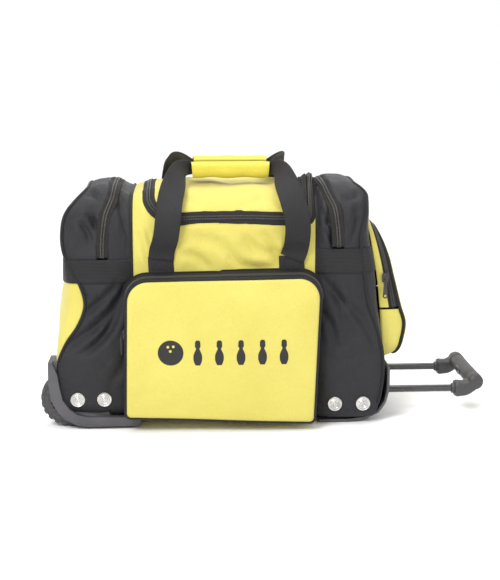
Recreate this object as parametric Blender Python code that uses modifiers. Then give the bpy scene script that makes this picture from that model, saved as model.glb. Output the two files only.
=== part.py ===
"""Wheeled duffel bag for a bowling ball and shoes, as an assembly of separate closed solids.

The bag stands on two wheels at -X and on the ribbed corner plate at +X.  Front is -Y and up is +Z.
Lengths are metres.  BAG_FRAME carries every piece, so all sizes below are measured from the middle
of the fabric body on the floor.
"""
import math

import bmesh
import bpy
from mathutils import Matrix, Vector

# ---- overall frame -------------------------------------------------------------------------------
FRAME_SHIFT = (-0.0705, 0.0116, 0.0)     # puts the middle of the whole outline on the origin
GAP = 0.0003                            # between touching pieces
WALL = 0.0035                           # fabric with its foam backing
ARC_STEPS = 5

# ---- fabric body ---------------------------------------------------------------------------------
LEFT_SEAM, RIGHT_SEAM = -0.133, 0.144   # where the end compartments meet the centre
BODY_END = 0.250                        # half the length of the fabric body
END_LEAN = 0.019                        # how far the top of each end leans in
LEAN_HEIGHT = 0.330
BODY_DEPTH = 0.130                      # half depth of the end compartments
BELOW_LEFT, BELOW_RIGHT = 0.020, 0.006  # underside height at the two ends
TOP_ROUND, BOTTOM_ROUND = 0.058, 0.016
FLOOR_Z = 0.058                         # compartment floor, above the trolley bay
BAY = (-0.200, 0.262, 0.100, 0.024, 0.0545)   # trolley bay: x from, x to, half depth, z from, z to

# distance out from the body's middle, half depth, top height, lift of the underside
CENTRE_STATIONS = ((-0.133, 0.1225, 0.347, 0.0), (-0.112, 0.125, 0.354, 0.0), (-0.060, 0.125, 0.358, 0.0),
                   (0.070, 0.125, 0.358, 0.0), (0.122, 0.125, 0.354, 0.0), (0.144, 0.1225, 0.347, 0.0))
LEFT_STATIONS = ((0.133, 0.127, 0.352, 0.0), (0.165, 0.130, 0.371, 0.0), (0.198, 0.130, 0.374, 0.0),
                 (0.228, 0.128, 0.367, 0.002), (0.243, 0.120, 0.350, 0.006), (0.250, 0.106, 0.324, 0.016))
RIGHT_STATIONS = ((0.144, 0.127, 0.356, 0.0), (0.172, 0.130, 0.372, 0.0), (0.204, 0.130, 0.375, 0.0),
                  (0.230, 0.128, 0.368, 0.001), (0.244, 0.120, 0.350, 0.003), (0.250, 0.106, 0.324, 0.010))

# ---- zips, lids and flaps ------------------------------------------------------------------------
LEFT_ZIP, RIGHT_ZIP = (-0.183, -0.165), (0.164, 0.182)
LEFT_FLAP_Z, RIGHT_FLAP_Z = 0.262, 0.276
RIGHT_HINGE_Z = 0.306
MAIN_ZIP = (-0.116, 0.142, 0.304)       # x from, x to, lower edge
LID = (-0.107, 0.133, 0.3135)
LID_HINGE_Y, LID_HINGE_Z = 0.100, 0.3481
ZIP_CORNER = 0.040

# ---- webbing -------------------------------------------------------------------------------------
BAND_THICK = 0.002
LEFT_BAND, RIGHT_BAND = (0.223, 0.2585), (0.235, 0.2725)
STRAP_WIDTH, STRAP_THICK = 0.038, 0.0024
STRAP_PIVOT_Z = 0.262
FRONT_LEGS, REAR_LEGS = (-0.089, 0.106), (-0.084, 0.098)
PIVOT_Y = 0.1292
GRIP_FRONT_Y, GRIP_REAR_Y, GRIP_Z = -0.0430, -0.0215, 0.387
GRIP_DEEP, GRIP_TALL = 0.018, 0.021
WRAP_X = (-0.040, 0.075)

# ---- front pocket --------------------------------------------------------------------------------
POCKET = ((-0.143, 0.025), (0.138, 0.0135), (0.147, 0.233), (-0.139, 0.229))
POCKET_ROUND = (0.006, 0.006, 0.030, 0.030)
GUSSET_Y, POCKET_ZIP_Y, FACE_Y, FACE_FRONT = -0.1303, -0.1475, -0.1560, -0.1650
POCKET_WALL = 0.003

# ---- end pocket and end panel --------------------------------------------------------------------
END_POCKET = ((0.097, 0.094, 0.300, 0.2540), (0.096, 0.100, 0.292, 0.2640), (0.088, 0.112, 0.262, 0.2740),
              (0.070, 0.128, 0.212, 0.2860))
END_PANEL = (0.098, 0.104, 0.2615)      # half depth, z from, z to
END_PANEL_THICK = 0.0025

# ---- wheels --------------------------------------------------------------------------------------
WHEEL = (-0.231, 0.043)                 # axle x and z
TYRE_R, TREAD_DEEP, TYRE_SHOULDER, LUGS = 0.043, 0.0035, 0.0055, 22
HUB_R, AXLE_R = 0.028, 0.004
WHEEL_Y = (0.0930, 0.1215)              # inner and outer face, either side
CHEEK_IN, CHEEK_OUT, RIM_OUT = 0.0865, 0.1262, 0.1360
WELL_R, ARCH_R = 0.0465, 0.0505

# ---- trolley -------------------------------------------------------------------------------------
TUBE_Y, TUBE_Z = 0.070, 0.039
SLEEVE_R, SLEEVE_BORE = 0.0095, 0.0078
MIDDLE_R, MIDDLE_BORE = 0.0075, 0.0058
INNER_R = 0.0055
SLEEVE_X, MIDDLE_X, INNER_X = (-0.186, 0.2475), (-0.182, 0.2465), (-0.070, 0.3860)
CAP_OUT = ((0.259, 0.086), (0.259, 0.050), (0.254, 0.030), (0.243, 0.014), (0.224, 0.005), (0.196, 0.0), (0.150, 0.0))
CAP_THICK = 0.0045
ARM = (0.3690, 0.3925, 0.0125, 0.0265, 0.0515)   # x from, x to, half depth, z from, z to
BAR_X, BAR_Z, BAR_R, BAR_HALF = 0.4020, 0.0500, 0.0130, 0.0830

COLOURS = {
    "yellow_fabric": (0.86, 0.74, 0.10), "black_fabric": (0.045, 0.045, 0.050),
    "webbing": (0.040, 0.038, 0.040), "zip_black": (0.025, 0.024, 0.024),
    "housing_plastic": (0.10, 0.095, 0.105), "tyre_rubber": (0.07, 0.07, 0.072),
    "rivet_steel": (0.75, 0.74, 0.72), "tube_enamel": (0.03, 0.03, 0.032),
    "grip_plastic": (0.075, 0.073, 0.075), "foam": (0.12, 0.12, 0.13),
    "board": (0.05, 0.05, 0.05), "axle_steel": (0.55, 0.55, 0.57),
}


# ---- helpers -------------------------------------------------------------------------------------
def start_scene():
    """Empties the scene, then adds the two collections and the frame that carries every piece."""
    for old in list(bpy.data.objects):
        bpy.data.objects.remove(old, do_unlink=True)
    groups = []
    for name in ("bowling_ball_bag", "cutters"):
        group = bpy.data.collections.new(name)
        bpy.context.scene.collection.children.link(group)
        groups.append(group)
    frame = bpy.data.objects.new("bag_frame", None)
    frame.location = FRAME_SHIFT
    groups[0].objects.link(frame)
    return groups[0], groups[1], frame


BAG, CUTTERS, FRAME = start_scene()


def material(slot, node):
    """A Principled material of its own for the node."""
    made = bpy.data.materials.new(f"{slot}.{node}")
    made.use_nodes = True
    shader = made.node_tree.nodes["Principled BSDF"]
    shader.inputs["Base Color"].default_value = (*COLOURS[slot], 1.0)
    shader.inputs["Roughness"].default_value = 0.35 if slot in ("rivet_steel", "tube_enamel") else 0.75
    shader.inputs["Metallic"].default_value = 1.0 if slot in ("rivet_steel", "axle_steel") else 0.0
    return made


def add(name, mesh, slot=None, pivot=(0.0, 0.0, 0.0), smooth=False):
    """Makes a node (or a cutter when slot is None) from a mesh given in bag coordinates."""
    node = bpy.data.objects.new(name, mesh)
    mesh.transform(Matrix.Translation(-Vector(pivot)))
    node.location = pivot
    node.parent = FRAME
    if slot is None:
        CUTTERS.objects.link(node)
        node.hide_render = True
        node.display_type = "WIRE"
    else:
        BAG.objects.link(node)
        mesh.materials.append(material(slot, name))
    if smooth:
        mesh.shade_smooth()
    return node


def boolean(node, cutter, operation="DIFFERENCE"):
    """Adds an exact Boolean to the node."""
    tool = node.modifiers.new(operation.lower(), "BOOLEAN")
    tool.operation = operation
    tool.solver = "EXACT"
    tool.object = cutter
    return node


def from_bmesh(name, shape):
    """Turns a bmesh into a mesh with outward faces."""
    bmesh.ops.recalc_face_normals(shape, faces=shape.faces)
    if shape.calc_volume(signed=True) < 0:
        bmesh.ops.reverse_faces(shape, faces=shape.faces)
    mesh = bpy.data.meshes.new(name)
    shape.to_mesh(mesh)
    shape.free()
    return mesh


def rounded(corners, radii, steps=ARC_STEPS):
    """Outline through the corners with each one rounded by its own radius."""
    points = []
    count = len(corners)
    for index in range(count):
        here = Vector(corners[index])
        back = (Vector(corners[index - 1]) - here).normalized()
        ahead = (Vector(corners[(index + 1) % count]) - here).normalized()
        half = 0.5 * back.angle(ahead)
        reach = radii[index] / math.tan(half)
        centre = here + (back + ahead).normalized() * radii[index] / math.sin(half)
        start = (here + back * reach - centre).normalized()
        end = (here + ahead * reach - centre).normalized()
        for step in range(steps + 1):
            points.append(centre + start.slerp(end, step / steps) * radii[index])
    return points


def loft(name, sections):
    """Closed solid through a row of sections that all have the same number of points."""
    shape = bmesh.new()
    rings = [[shape.verts.new(point) for point in section] for section in sections]
    count = len(rings[0])
    for near, far in zip(rings, rings[1:]):
        for index in range(count):
            after = (index + 1) % count
            shape.faces.new((near[index], near[after], far[after], far[index]))
    shape.faces.new(rings[0])
    shape.faces.new(rings[-1])
    return from_bmesh(name, shape)


def box(name, low, high):
    """Box between two corners."""
    shape = bmesh.new()
    bmesh.ops.create_cube(shape, size=1.0)
    size = [b - a for a, b in zip(low, high)]
    middle = [(a + b) / 2 for a, b in zip(low, high)]
    bmesh.ops.scale(shape, vec=size, verts=shape.verts)
    bmesh.ops.translate(shape, vec=middle, verts=shape.verts)
    return from_bmesh(name, shape)


def cylinder(name, radius, low, high, centre, axis="Y", segments=32):
    """Cylinder along an axis from low to high, centred on the other two coordinates."""
    shape = bmesh.new()
    bmesh.ops.create_cone(
        shape, cap_ends=True, segments=segments, radius1=radius, radius2=radius, depth=high - low
    )
    if axis == "Y":
        bmesh.ops.rotate(shape, matrix=Matrix.Rotation(math.pi / 2, 3, "X"), verts=shape.verts)
        middle = (centre[0], (low + high) / 2, centre[1])
    elif axis == "X":
        bmesh.ops.rotate(shape, matrix=Matrix.Rotation(math.pi / 2, 3, "Y"), verts=shape.verts)
        middle = ((low + high) / 2, centre[0], centre[1])
    else:
        middle = (centre[0], centre[1], (low + high) / 2)
    bmesh.ops.translate(shape, vec=middle, verts=shape.verts)
    return from_bmesh(name, shape)


def plate(name, outline, low, high, axis="Y"):
    """Flat outline extruded along Y (outline in x, z) or along X (outline in y, z)."""
    curve = bpy.data.curves.new(name, "CURVE")
    curve.dimensions = "2D"
    curve.fill_mode = "BOTH"
    curve.extrude = (high - low) / 2
    spline = curve.splines.new("POLY")
    spline.points.add(len(outline) - 1)
    for point, place in zip(spline.points, outline):
        point.co = (place[0], place[1], 0.0, 1.0)
    spline.use_cyclic_u = True
    holder = bpy.data.objects.new(name, curve)
    CUTTERS.objects.link(holder)
    mesh = bpy.data.meshes.new_from_object(holder)
    bpy.data.objects.remove(holder, do_unlink=True)
    shape = bmesh.new()
    shape.from_mesh(mesh)
    bmesh.ops.remove_doubles(shape, verts=shape.verts, dist=1e-6)
    middle = (low + high) / 2
    if axis == "Y":
        turn = Matrix(((1, 0, 0, 0), (0, 0, -1, middle), (0, 1, 0, 0), (0, 0, 0, 1)))
    else:
        turn = Matrix(((0, 0, 1, middle), (1, 0, 0, 0), (0, 1, 0, 0), (0, 0, 0, 1)))
    shape.transform(turn)
    return from_bmesh(name, shape)


def revolve(name, profile, slot, place, axis="X", pivot=None, steps=32):
    """Turned solid: the profile (radius, height) runs from one end of its axis to the other."""
    mesh = bpy.data.meshes.new(name)
    points = [(radius, 0.0, height) for radius, height in profile]
    mesh.from_pydata(points, [(i, i + 1) for i in range(len(points) - 1)], [])
    node = add(name, mesh, slot)
    node.location = place
    node.rotation_euler = (0.0, math.pi / 2, 0.0) if axis == "X" else (math.pi / 2, 0.0, 0.0)
    screw = node.modifiers.new("turn", "SCREW")
    screw.steps = steps
    screw.render_steps = steps
    screw.use_merge_vertices = True
    screw.merge_threshold = 0.00005
    screw.use_normal_calculate = False
    screw.use_smooth_shade = True
    return node


def soften(node, width, segments=1):
    """Rounds the sharp edges of a node."""
    bevel = node.modifiers.new("soften", "BEVEL")
    bevel.width = width
    bevel.segments = segments
    bevel.limit_method = "ANGLE"
    bevel.angle_limit = math.radians(40)
    return node


# ---- fabric body ---------------------------------------------------------------------------------
def underside(x):
    """Height of the bag's underside, which slopes down from the wheels to the corner plate."""
    share = (x + BODY_END) / (2 * BODY_END)
    return BELOW_LEFT + (BELOW_RIGHT - BELOW_LEFT) * share


def body_section(x, half, top, lift, side, grow, floor=None):
    """Rounded rectangle across the bag; side is -1, 0 or 1 for left, centre or right."""
    low = underside(x) + lift - grow if floor is None else floor
    half, top = half + grow, top + grow
    corners = ((-half, low), (half, low), (half, top), (-half, top))
    radii = (BOTTOM_ROUND, BOTTOM_ROUND, TOP_ROUND + grow, TOP_ROUND + grow)
    start = LEFT_SEAM if side < 0 else RIGHT_SEAM
    share = 0.0 if side == 0 else max(0.0, (abs(x) - abs(start)) / (BODY_END - abs(start)))
    lean = -side * END_LEAN * share
    return [(x + lean * z / LEAN_HEIGHT, y, z) for y, z in rounded(corners, radii)]


def body_solid(name, side, grow=0.0, start=0.0, end=0.0, floor=None, flush=0.0):
    """Solid of one compartment; start and end move its two faces outward."""
    stations = {0: CENTRE_STATIONS, -1: LEFT_STATIONS, 1: RIGHT_STATIONS}[side]
    sections = []
    first, last = abs(stations[0][0]), abs(stations[-1][0])
    for distance, half, top, lift in stations:
        if side:
            x = side * (distance + end * (distance - first) / (last - first))
            x -= side * start if distance == stations[0][0] else 0.0
        else:
            x = distance + math.copysign(1.0, distance) * start * (abs(distance) >= first)
        sections.append(body_section(x, half, top, lift, side, grow, floor))
    return loft(name, sections)


def cutter(mesh):
    """Links a mesh as a cutter."""
    return add("cut_" + mesh.name, mesh)


def wall_piece(name, side, slot, hollow, keep=(), remove=(), pivot=(0.0, 0.0, 0.0)):
    """A piece of the body's wall: the compartment less its hollow, trimmed to a region."""
    start = -GAP / 2
    node = add(name, body_solid(name, side, start=start), slot, pivot, smooth=False)
    boolean(node, hollow)
    for region in keep:
        boolean(node, region, "INTERSECT")
    for region in remove:
        boolean(node, region)
    return node


def build_regions():
    """Cutters shared by the walls, lids, flaps and zips."""
    cuts = {}
    for side, key in ((0, "centre"), (-1, "left"), (1, "right")):
        solid = body_solid(f"hollow_{key}", side, -WALL, start=-WALL, end=-WALL, floor=FLOOR_Z)
        cuts[key] = cutter(solid)
    low, high, half, bottom, top = BAY
    cuts["bay"] = cutter(box("bay", (low, -half, bottom), (high, half, top)))
    x0, x1, z0 = MAIN_ZIP
    round_off = (ZIP_CORNER, 0.006, 0.004, 0.004)
    outer = rounded(((x0, z0), (x1, z0), (x1, 0.45), (x0, 0.45)), round_off)
    wide = rounded(((x0 - GAP, z0 - GAP), (x1 + GAP, z0 - GAP), (x1 + GAP, 0.46), (x0 - GAP, 0.46)), round_off)
    lid_round = (ZIP_CORNER - 0.009, 0.006, 0.004, 0.004)
    l0, l1, lz = LID
    lid = rounded(((l0, lz), (l1, lz), (l1, 0.46), (l0, 0.46)), lid_round)
    gap = rounded(((l0 - GAP, lz - GAP), (l1 + GAP, lz - GAP), (l1 + GAP, 0.47), (l0 - GAP, 0.47)), lid_round)
    cuts["zip_region"] = cutter(plate("zip_region", outer, -0.20, LID_HINGE_Y))
    cuts["zip_wide"] = cutter(plate("zip_wide", wide, -0.21, LID_HINGE_Y + GAP))
    cuts["lid_region"] = cutter(plate("lid_region", lid, -0.20, LID_HINGE_Y))
    cuts["lid_wide"] = cutter(plate("lid_wide", gap, -0.21, LID_HINGE_Y + GAP))
    z = LEFT_FLAP_Z
    edge = -0.300
    cuts["left_open"] = cutter(box("left_open", (edge, -0.2, z), (LEFT_ZIP[1], 0.2, 0.45)))
    cuts["left_zip"] = cutter(box("left_zip_box", (LEFT_ZIP[0], -0.21, z + GAP), (LEFT_ZIP[1] - GAP, 0.21, 0.46)))
    cuts["left_flap"] = cutter(box("left_flap_box", (edge, -0.21, z + GAP), (LEFT_ZIP[0] - GAP, 0.21, 0.46)))
    z, hinge_z = RIGHT_FLAP_Z, RIGHT_HINGE_Z
    zip_in, zip_out = RIGHT_ZIP
    edge = 0.300
    step = ((zip_in, z), (zip_out + GAP, z), (zip_out + GAP, hinge_z), (edge, hinge_z), (edge, 0.45), (zip_in, 0.45))
    cuts["right_open"] = cutter(plate("right_open", step, -0.2, 0.2))
    cuts["right_zip"] = cutter(box("right_zip_box", (zip_in + GAP, -0.21, z + GAP), (zip_out, 0.21, 0.46)))
    cuts["right_flap"] = cutter(box("right_flap_box", (zip_out + GAP, -0.21, hinge_z + GAP), (edge, 0.21, 0.46)))
    return cuts


def arch_points(radius):
    """Points over the wheel, from just below the level of its axle to its top."""
    angles = [math.radians(-3 + 13 * step) for step in range(7)]
    return [(WHEEL[0] + radius * math.cos(a), WHEEL[1] + radius * math.sin(a)) for a in angles]


def housing_outlines():
    """Outline of the wheel housing's cheek, of its outer rim, and of the fabric's cut-out round it."""
    outer = ((-0.260, 0.104), (-0.2605, 0.071), (-0.257, 0.046), (-0.248, 0.028), (-0.237, 0.0155),
             (-0.220, 0.0065), (-0.205, 0.0035), (-0.124, 0.0045))
    inner = ((-0.1215, 0.0145), (-0.148, 0.0175), (-0.203, 0.0185), (-0.218, 0.0225), (-0.230, 0.031),
             (-0.2395, 0.045), (-0.2435, 0.063), (-0.2465, 0.084), (-0.254, 0.104))
    cheek = list(outer) + [(-0.1215, 0.0145), (-0.168, 0.018)] + arch_points(ARCH_R) + [(-0.236, 0.104)]
    rim = list(outer) + list(inner)
    far = [(-0.30, 0.107), (-0.30, -0.02), (-0.118, -0.02), (-0.118, 0.0148)]
    trim = far + [(px + GAP, pz + GAP * 1.2) for px, pz in inner[1:-1]] + [(-0.2535, 0.107)]
    return cheek, rim, trim


def build_body(cuts):
    """Centre, both ends, their zips, lid and flaps."""
    trim = housing_outlines()[2]
    wall_piece("centre_shell", 0, "yellow_fabric", cuts["centre"], remove=(cuts["bay"], cuts["zip_wide"]))
    wall_piece("main_zip", 0, "zip_black", cuts["centre"], keep=(cuts["zip_region"],), remove=(cuts["lid_wide"],))
    wall_piece("main_lid", 0, "yellow_fabric", cuts["centre"], keep=(cuts["lid_region"],),
               pivot=(0.013, LID_HINGE_Y, LID_HINGE_Z))
    notches = []
    for sign, key in ((-1, "front"), (1, "rear")):
        span = sorted((sign * (CHEEK_IN - 0.0008), sign * (CHEEK_OUT + GAP)))
        block = [(-0.30, 0.1055), (-0.30, -0.02), (-0.118, -0.02), (-0.118, 0.0155), (-0.1668, 0.0194)]
        block += arch_points(ARCH_R + 0.0009) + [(-0.2350, 0.1055)]
        notches.append(cutter(plate(f"notch_{key}", block, *span)))
        span = sorted((sign * 0.10, sign * 0.16))
        notches.append(cutter(plate(f"trim_{key}", trim, *span)))
    wall_piece("end_shell_left", -1, "black_fabric", cuts["left"],
               remove=[cuts["bay"], cuts["left_open"], *notches])
    wall_piece("left_zip", -1, "zip_black", cuts["left"], keep=(cuts["left_zip"],))
    wall_piece("left_flap", -1, "black_fabric", cuts["left"], keep=(cuts["left_flap"],),
               pivot=(-BODY_END + END_LEAN * LEFT_FLAP_Z / LEAN_HEIGHT, 0.0, LEFT_FLAP_Z))
    inside = [(px - CAP_THICK - GAP, pz) for px, pz in CAP_OUT[:2]]
    inside += [(px - 0.7 * (CAP_THICK + GAP), pz + 0.7 * (CAP_THICK + GAP)) for px, pz in CAP_OUT[2:5]]
    inside += [(px, pz + CAP_THICK + GAP) for px, pz in CAP_OUT[5:]]
    far = [(0.148, 0.0048), (0.148, -0.02), (0.30, -0.02), (0.30, 0.088), (0.2542, 0.088)]
    cap_cut = cutter(plate("cap_cut", far + inside[1:-1], -0.2, 0.2))
    wall_piece("end_shell_right", 1, "black_fabric", cuts["right"],
               remove=[cuts["bay"], cuts["right_open"], cap_cut])
    wall_piece("right_zip", 1, "zip_black", cuts["right"], keep=(cuts["right_zip"],))
    wall_piece("right_flap", 1, "black_fabric", cuts["right"], keep=(cuts["right_flap"],),
               pivot=(BODY_END - END_LEAN * RIGHT_HINGE_Z / LEAN_HEIGHT, 0.0, RIGHT_HINGE_Z))


def build_bands():
    """Webbing bands sewn round both end compartments."""
    for side, key, (low, high) in ((-1, "left", LEFT_BAND), (1, "right", RIGHT_BAND)):
        clear = END_PANEL_THICK + 3 * GAP if side < 0 else 2 * GAP
        node = add(f"band_{key}", body_solid(f"band_{key}", side, GAP + BAND_THICK, -0.002, clear + BAND_THICK),
                   "webbing")
        inside = cutter(body_solid(f"band_inside_{key}", side, GAP, 0.02, clear))
        slab = cutter(box(f"band_slab_{key}", (-0.3, -0.2, low), (0.3, 0.2, high)))
        boolean(node, inside)
        boolean(node, slab, "INTERSECT")


def end_strip(name, slot, side, half, low, high, near, thick):
    """Panel that lies on the leaning end of the bag."""
    corners = ((-half, low), (half, low), (half, high), (-half, high))
    outline = rounded(corners, (0.012, 0.012, 0.004, 0.004))
    sections = []
    for distance in (near, near + thick):
        sections.append([(side * (distance - END_LEAN * z / LEAN_HEIGHT), y, z) for y, z in outline])
    return add(name, loft(name, sections), slot)


def build_ends():
    """Yellow end panel, padded end pocket and its zip band."""
    half, low, high = END_PANEL
    end_strip("end_panel_left", "yellow_fabric", -1, half, low, high, BODY_END + GAP, END_PANEL_THICK)
    sections = []
    for half, low, high, distance in END_POCKET:
        outline = rounded(((-half, low), (half, low), (half, high), (-half, high)), (0.020, 0.020, 0.034, 0.034))
        base = distance == END_POCKET[0][3]
        sections.append([(distance - (END_LEAN * z / LEAN_HEIGHT if base else END_LEAN * high / LEAN_HEIGHT * 0.6), y, z)
                         for y, z in outline])
    add("end_pocket", loft("end_pocket", sections), "yellow_fabric")


def build_pocket():
    """Front pocket: gusset sewn to the centre, zip on three sides and the face that opens."""
    shrink = [(px - math.copysign(POCKET_WALL, px), pz + (-POCKET_WALL if pz > 0.1 else POCKET_WALL)) for px, pz in POCKET]
    hole = rounded(shrink, (0.004, 0.004, 0.027, 0.027))
    through = cutter(plate("pocket_hole", hole, -0.30, -0.10))
    shallow = cutter(plate("face_hole", hole, FACE_FRONT + POCKET_WALL, -0.10))
    outline = rounded(POCKET, POCKET_ROUND)
    gusset = add("pocket_gusset", plate("pocket_gusset", outline, POCKET_ZIP_Y + GAP, GUSSET_Y), "yellow_fabric")
    boolean(gusset, through)
    wide = [(px + math.copysign(0.0012, px), pz + (0.0012 if pz > 0.1 else -0.0012)) for px, pz in POCKET]
    track = add("pocket_zip", plate("pocket_zip", rounded(wide, POCKET_ROUND), FACE_Y + GAP, POCKET_ZIP_Y), "zip_black")
    boolean(track, through)
    boolean(track, cutter(box("zip_foot", (-0.2, -0.2, -0.05), (0.2, -0.1, 0.052))))
    face = add("pocket_face", plate("pocket_face", outline, FACE_FRONT, FACE_Y), "yellow_fabric",
               (0.0, FACE_Y, POCKET[1][1]))
    boolean(face, shallow)


# ---- webbing handles -----------------------------------------------------------------------------
def ribbon(name, stops, slot, pivot):
    """Strap swept through stops of (centre, width direction, half width, half thickness)."""
    sections = []
    for index, (centre, across, half, thick) in enumerate(stops):
        before = Vector(stops[max(index - 1, 0)][0])
        after = Vector(stops[min(index + 1, len(stops) - 1)][0])
        along = (after - before).normalized()
        wide = Vector(across)
        wide = (wide - along * wide.dot(along)).normalized()
        deep = along.cross(wide)
        centre = Vector(centre)
        sections.append([centre + wide * half * a + deep * thick * b for a, b in ((-1, -1), (1, -1), (1, 1), (-1, 1))])
    return add(name, loft(name, sections), slot, pivot)


def carry_loop(name, sign, legs, grip_y):
    """One carrying loop: two webbing legs and the folded grip between them."""
    half, thick = STRAP_WIDTH / 2, STRAP_THICK / 2
    start = STRAP_PIVOT_Z + GAP + 0.0009
    root = ((PIVOT_Y - 0.0015, start), (PIVOT_Y, start + 0.006))
    if sign < 0:
        leg = root + ((0.1385, 0.290), (0.1395, 0.322), (0.120, 0.352), (0.088, 0.376))
    else:
        leg = root + ((0.1385, 0.292), (0.1400, 0.330), (0.122, 0.364), (0.060, 0.386))
    stops = []
    left, right = legs
    drift = (0.0, 0.0, 0.007, 0.013, 0.019, 0.026)
    for (y, z), lean in zip(leg, drift):
        stops.append(((left + lean, sign * y, z), (1, 0, 0), half, thick))
    turn = GRIP_Z + 0.002
    stops.append(((WRAP_X[0] - 0.018, grip_y + sign * 0.012, turn), (1, 0.5 * -sign, -0.2), half * 0.62, 0.0035))
    stops.append(((WRAP_X[0] - 0.002, grip_y, GRIP_Z), (0.3, -sign, 0), GRIP_DEEP / 2, GRIP_TALL / 3))
    stops.append(((WRAP_X[0] + 0.012, grip_y, GRIP_Z), (0, -sign, 0), GRIP_DEEP / 2, GRIP_TALL / 2))
    stops.append(((WRAP_X[1] - 0.012, grip_y, GRIP_Z), (0, -sign, 0), GRIP_DEEP / 2, GRIP_TALL / 2))
    stops.append(((WRAP_X[1] + 0.002, grip_y, GRIP_Z), (-0.3, -sign, 0), GRIP_DEEP / 2, GRIP_TALL / 3))
    stops.append(((WRAP_X[1] + 0.015, grip_y + sign * 0.012, turn), (-1, 0.5 * -sign, 0.2), half * 0.62, 0.0035))
    for (y, z), lean in zip(leg[::-1], drift[::-1]):
        stops.append(((right - lean * 0.4, sign * y, z), (-1, 0, 0), half, thick))
    return ribbon(name, stops, "webbing", (0.009, sign * PIVOT_Y, STRAP_PIVOT_Z))


def build_straps():
    """Both carrying loops, the sewn feet of their legs and the two halves of the grip wrap."""
    for sign, key, legs, grip_y in ((-1, "front", FRONT_LEGS, GRIP_FRONT_Y), (1, "rear", REAR_LEGS, GRIP_REAR_Y)):
        carry_loop(f"strap_{key}", sign, legs, grip_y)
        for middle, side in zip(legs, ("left", "right")):
            low = 0.236 if sign < 0 else 0.120
            span = sorted((sign * (0.125 + GAP), sign * (0.125 + GAP + STRAP_THICK)))
            name = f"strap_foot_{key}_{side}"
            corner = (middle - STRAP_WIDTH / 2, span[0], low)
            add(name, box(name, corner, (middle + STRAP_WIDTH / 2, span[1], STRAP_PIVOT_Z)), "webbing")
    x0, x1 = WRAP_X
    front, back = GRIP_FRONT_Y - GRIP_DEEP / 2, GRIP_REAR_Y + GRIP_DEEP / 2
    top, bottom = GRIP_Z + GRIP_TALL / 2 + 0.001, GRIP_Z - GRIP_TALL / 2 - 0.001
    wall = 0.003
    upper = ((back + 0.001, bottom - 0.001), (back + 0.001 + wall, bottom + 0.002), (back + 0.001 + wall, top + 0.001),
             (back - 0.003, top + 0.0055), (front + 0.008, top + 0.0055), (front + 0.002, top + 0.001),
             (front + 0.004, top), (back + 0.001, top))
    add("wrap_rear", plate("wrap_rear", upper, x0, x1, "X"), "yellow_fabric", (0.009, PIVOT_Y, STRAP_PIVOT_Z))
    lower = ((front - 0.001, top - 0.001), (front - 0.001 - wall, top - 0.003), (front - 0.001 - wall, bottom - 0.002),
             (front + 0.002, bottom - 0.0055), (back - 0.004, bottom - 0.0055), (back - 0.003, bottom - 0.0015),
             (front + 0.001, bottom - 0.0015), (front - 0.001, bottom + 0.001))
    add("wrap_front", plate("wrap_front", lower, x0, x1, "X"), "yellow_fabric", (0.009, -PIVOT_Y, STRAP_PIVOT_Z))


# ---- wheels --------------------------------------------------------------------------------------
def build_wheels():
    """Tyres with hubs, axles and wheel housings at the two lower corners of the left end."""
    x, z = WHEEL
    tread = []
    for lug in range(LUGS):
        for share, radius in ((0.05, TYRE_R), (0.60, TYRE_R), (0.68, TYRE_R - TREAD_DEEP),
                              (0.97, TYRE_R - TREAD_DEEP)):
            angle = 2 * math.pi * (lug + share) / LUGS
            tread.append((radius * math.cos(angle), radius * math.sin(angle)))
    cheek, rim, _ = housing_outlines()
    for sign, key in ((-1, "front"), (1, "rear")):
        low, high = sorted(sign * y for y in WHEEL_Y)
        rounds = ((low, 0.93), (low + TYRE_SHOULDER, 1.0), (high - TYRE_SHOULDER, 1.0), (high, 0.93))
        sections = [[(x + a * scale, y, z + b * scale) for a, b in tread] for y, scale in rounds]
        tyre = add(f"tyre_{key}", loft(f"tyre_{key}", sections), "tyre_rubber", (x, (low + high) / 2, z))
        boolean(tyre, cutter(cylinder(f"tyre_bore_{key}", HUB_R + GAP, low - 0.01, high + 0.01, WHEEL)))
        hub_low, hub_high = low + 0.002, high - 0.002
        hub = add(f"hub_{key}", cylinder(f"hub_{key}", HUB_R, hub_low, hub_high, WHEEL), "housing_plastic",
                  (x, (low + high) / 2, z))
        boolean(hub, cutter(cylinder(f"hub_bore_{key}", AXLE_R + GAP, low - 0.01, high + 0.01, WHEEL, segments=16)))
        soften(hub, 0.002)
        axle_span = sorted((sign * (CHEEK_IN + 0.0015), sign * (CHEEK_OUT - 0.0008)))
        add(f"axle_{key}", cylinder(f"axle_{key}", AXLE_R, *axle_span, WHEEL, segments=16), "axle_steel")
        span = sorted((sign * CHEEK_IN, sign * CHEEK_OUT))
        housing = add(f"wheel_housing_{key}", plate(f"wheel_housing_{key}", cheek, *span), "housing_plastic")
        edge = sorted((sign * (CHEEK_OUT - 0.0030), sign * RIM_OUT))
        boolean(housing, cutter(plate(f"rim_{key}", rim, *edge)), "UNION")
        well = sorted((sign * (WHEEL_Y[0] - 0.0020), sign * (WHEEL_Y[1] + 0.0012)))
        arch = [(x + WELL_R * math.cos(a), z + WELL_R * math.sin(a))
                for a in (math.radians(90 - 10 * step) for step in range(13))]
        opening = [(-0.32, z + WELL_R)] + arch + [(arch[-1][0], -0.03), (-0.32, -0.03)]
        boolean(housing, cutter(plate(f"well_{key}", opening, *well)))
        boolean(housing, cutter(cylinder(f"axle_bore_{key}", AXLE_R + GAP, *axle_span, WHEEL, segments=16)))


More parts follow.
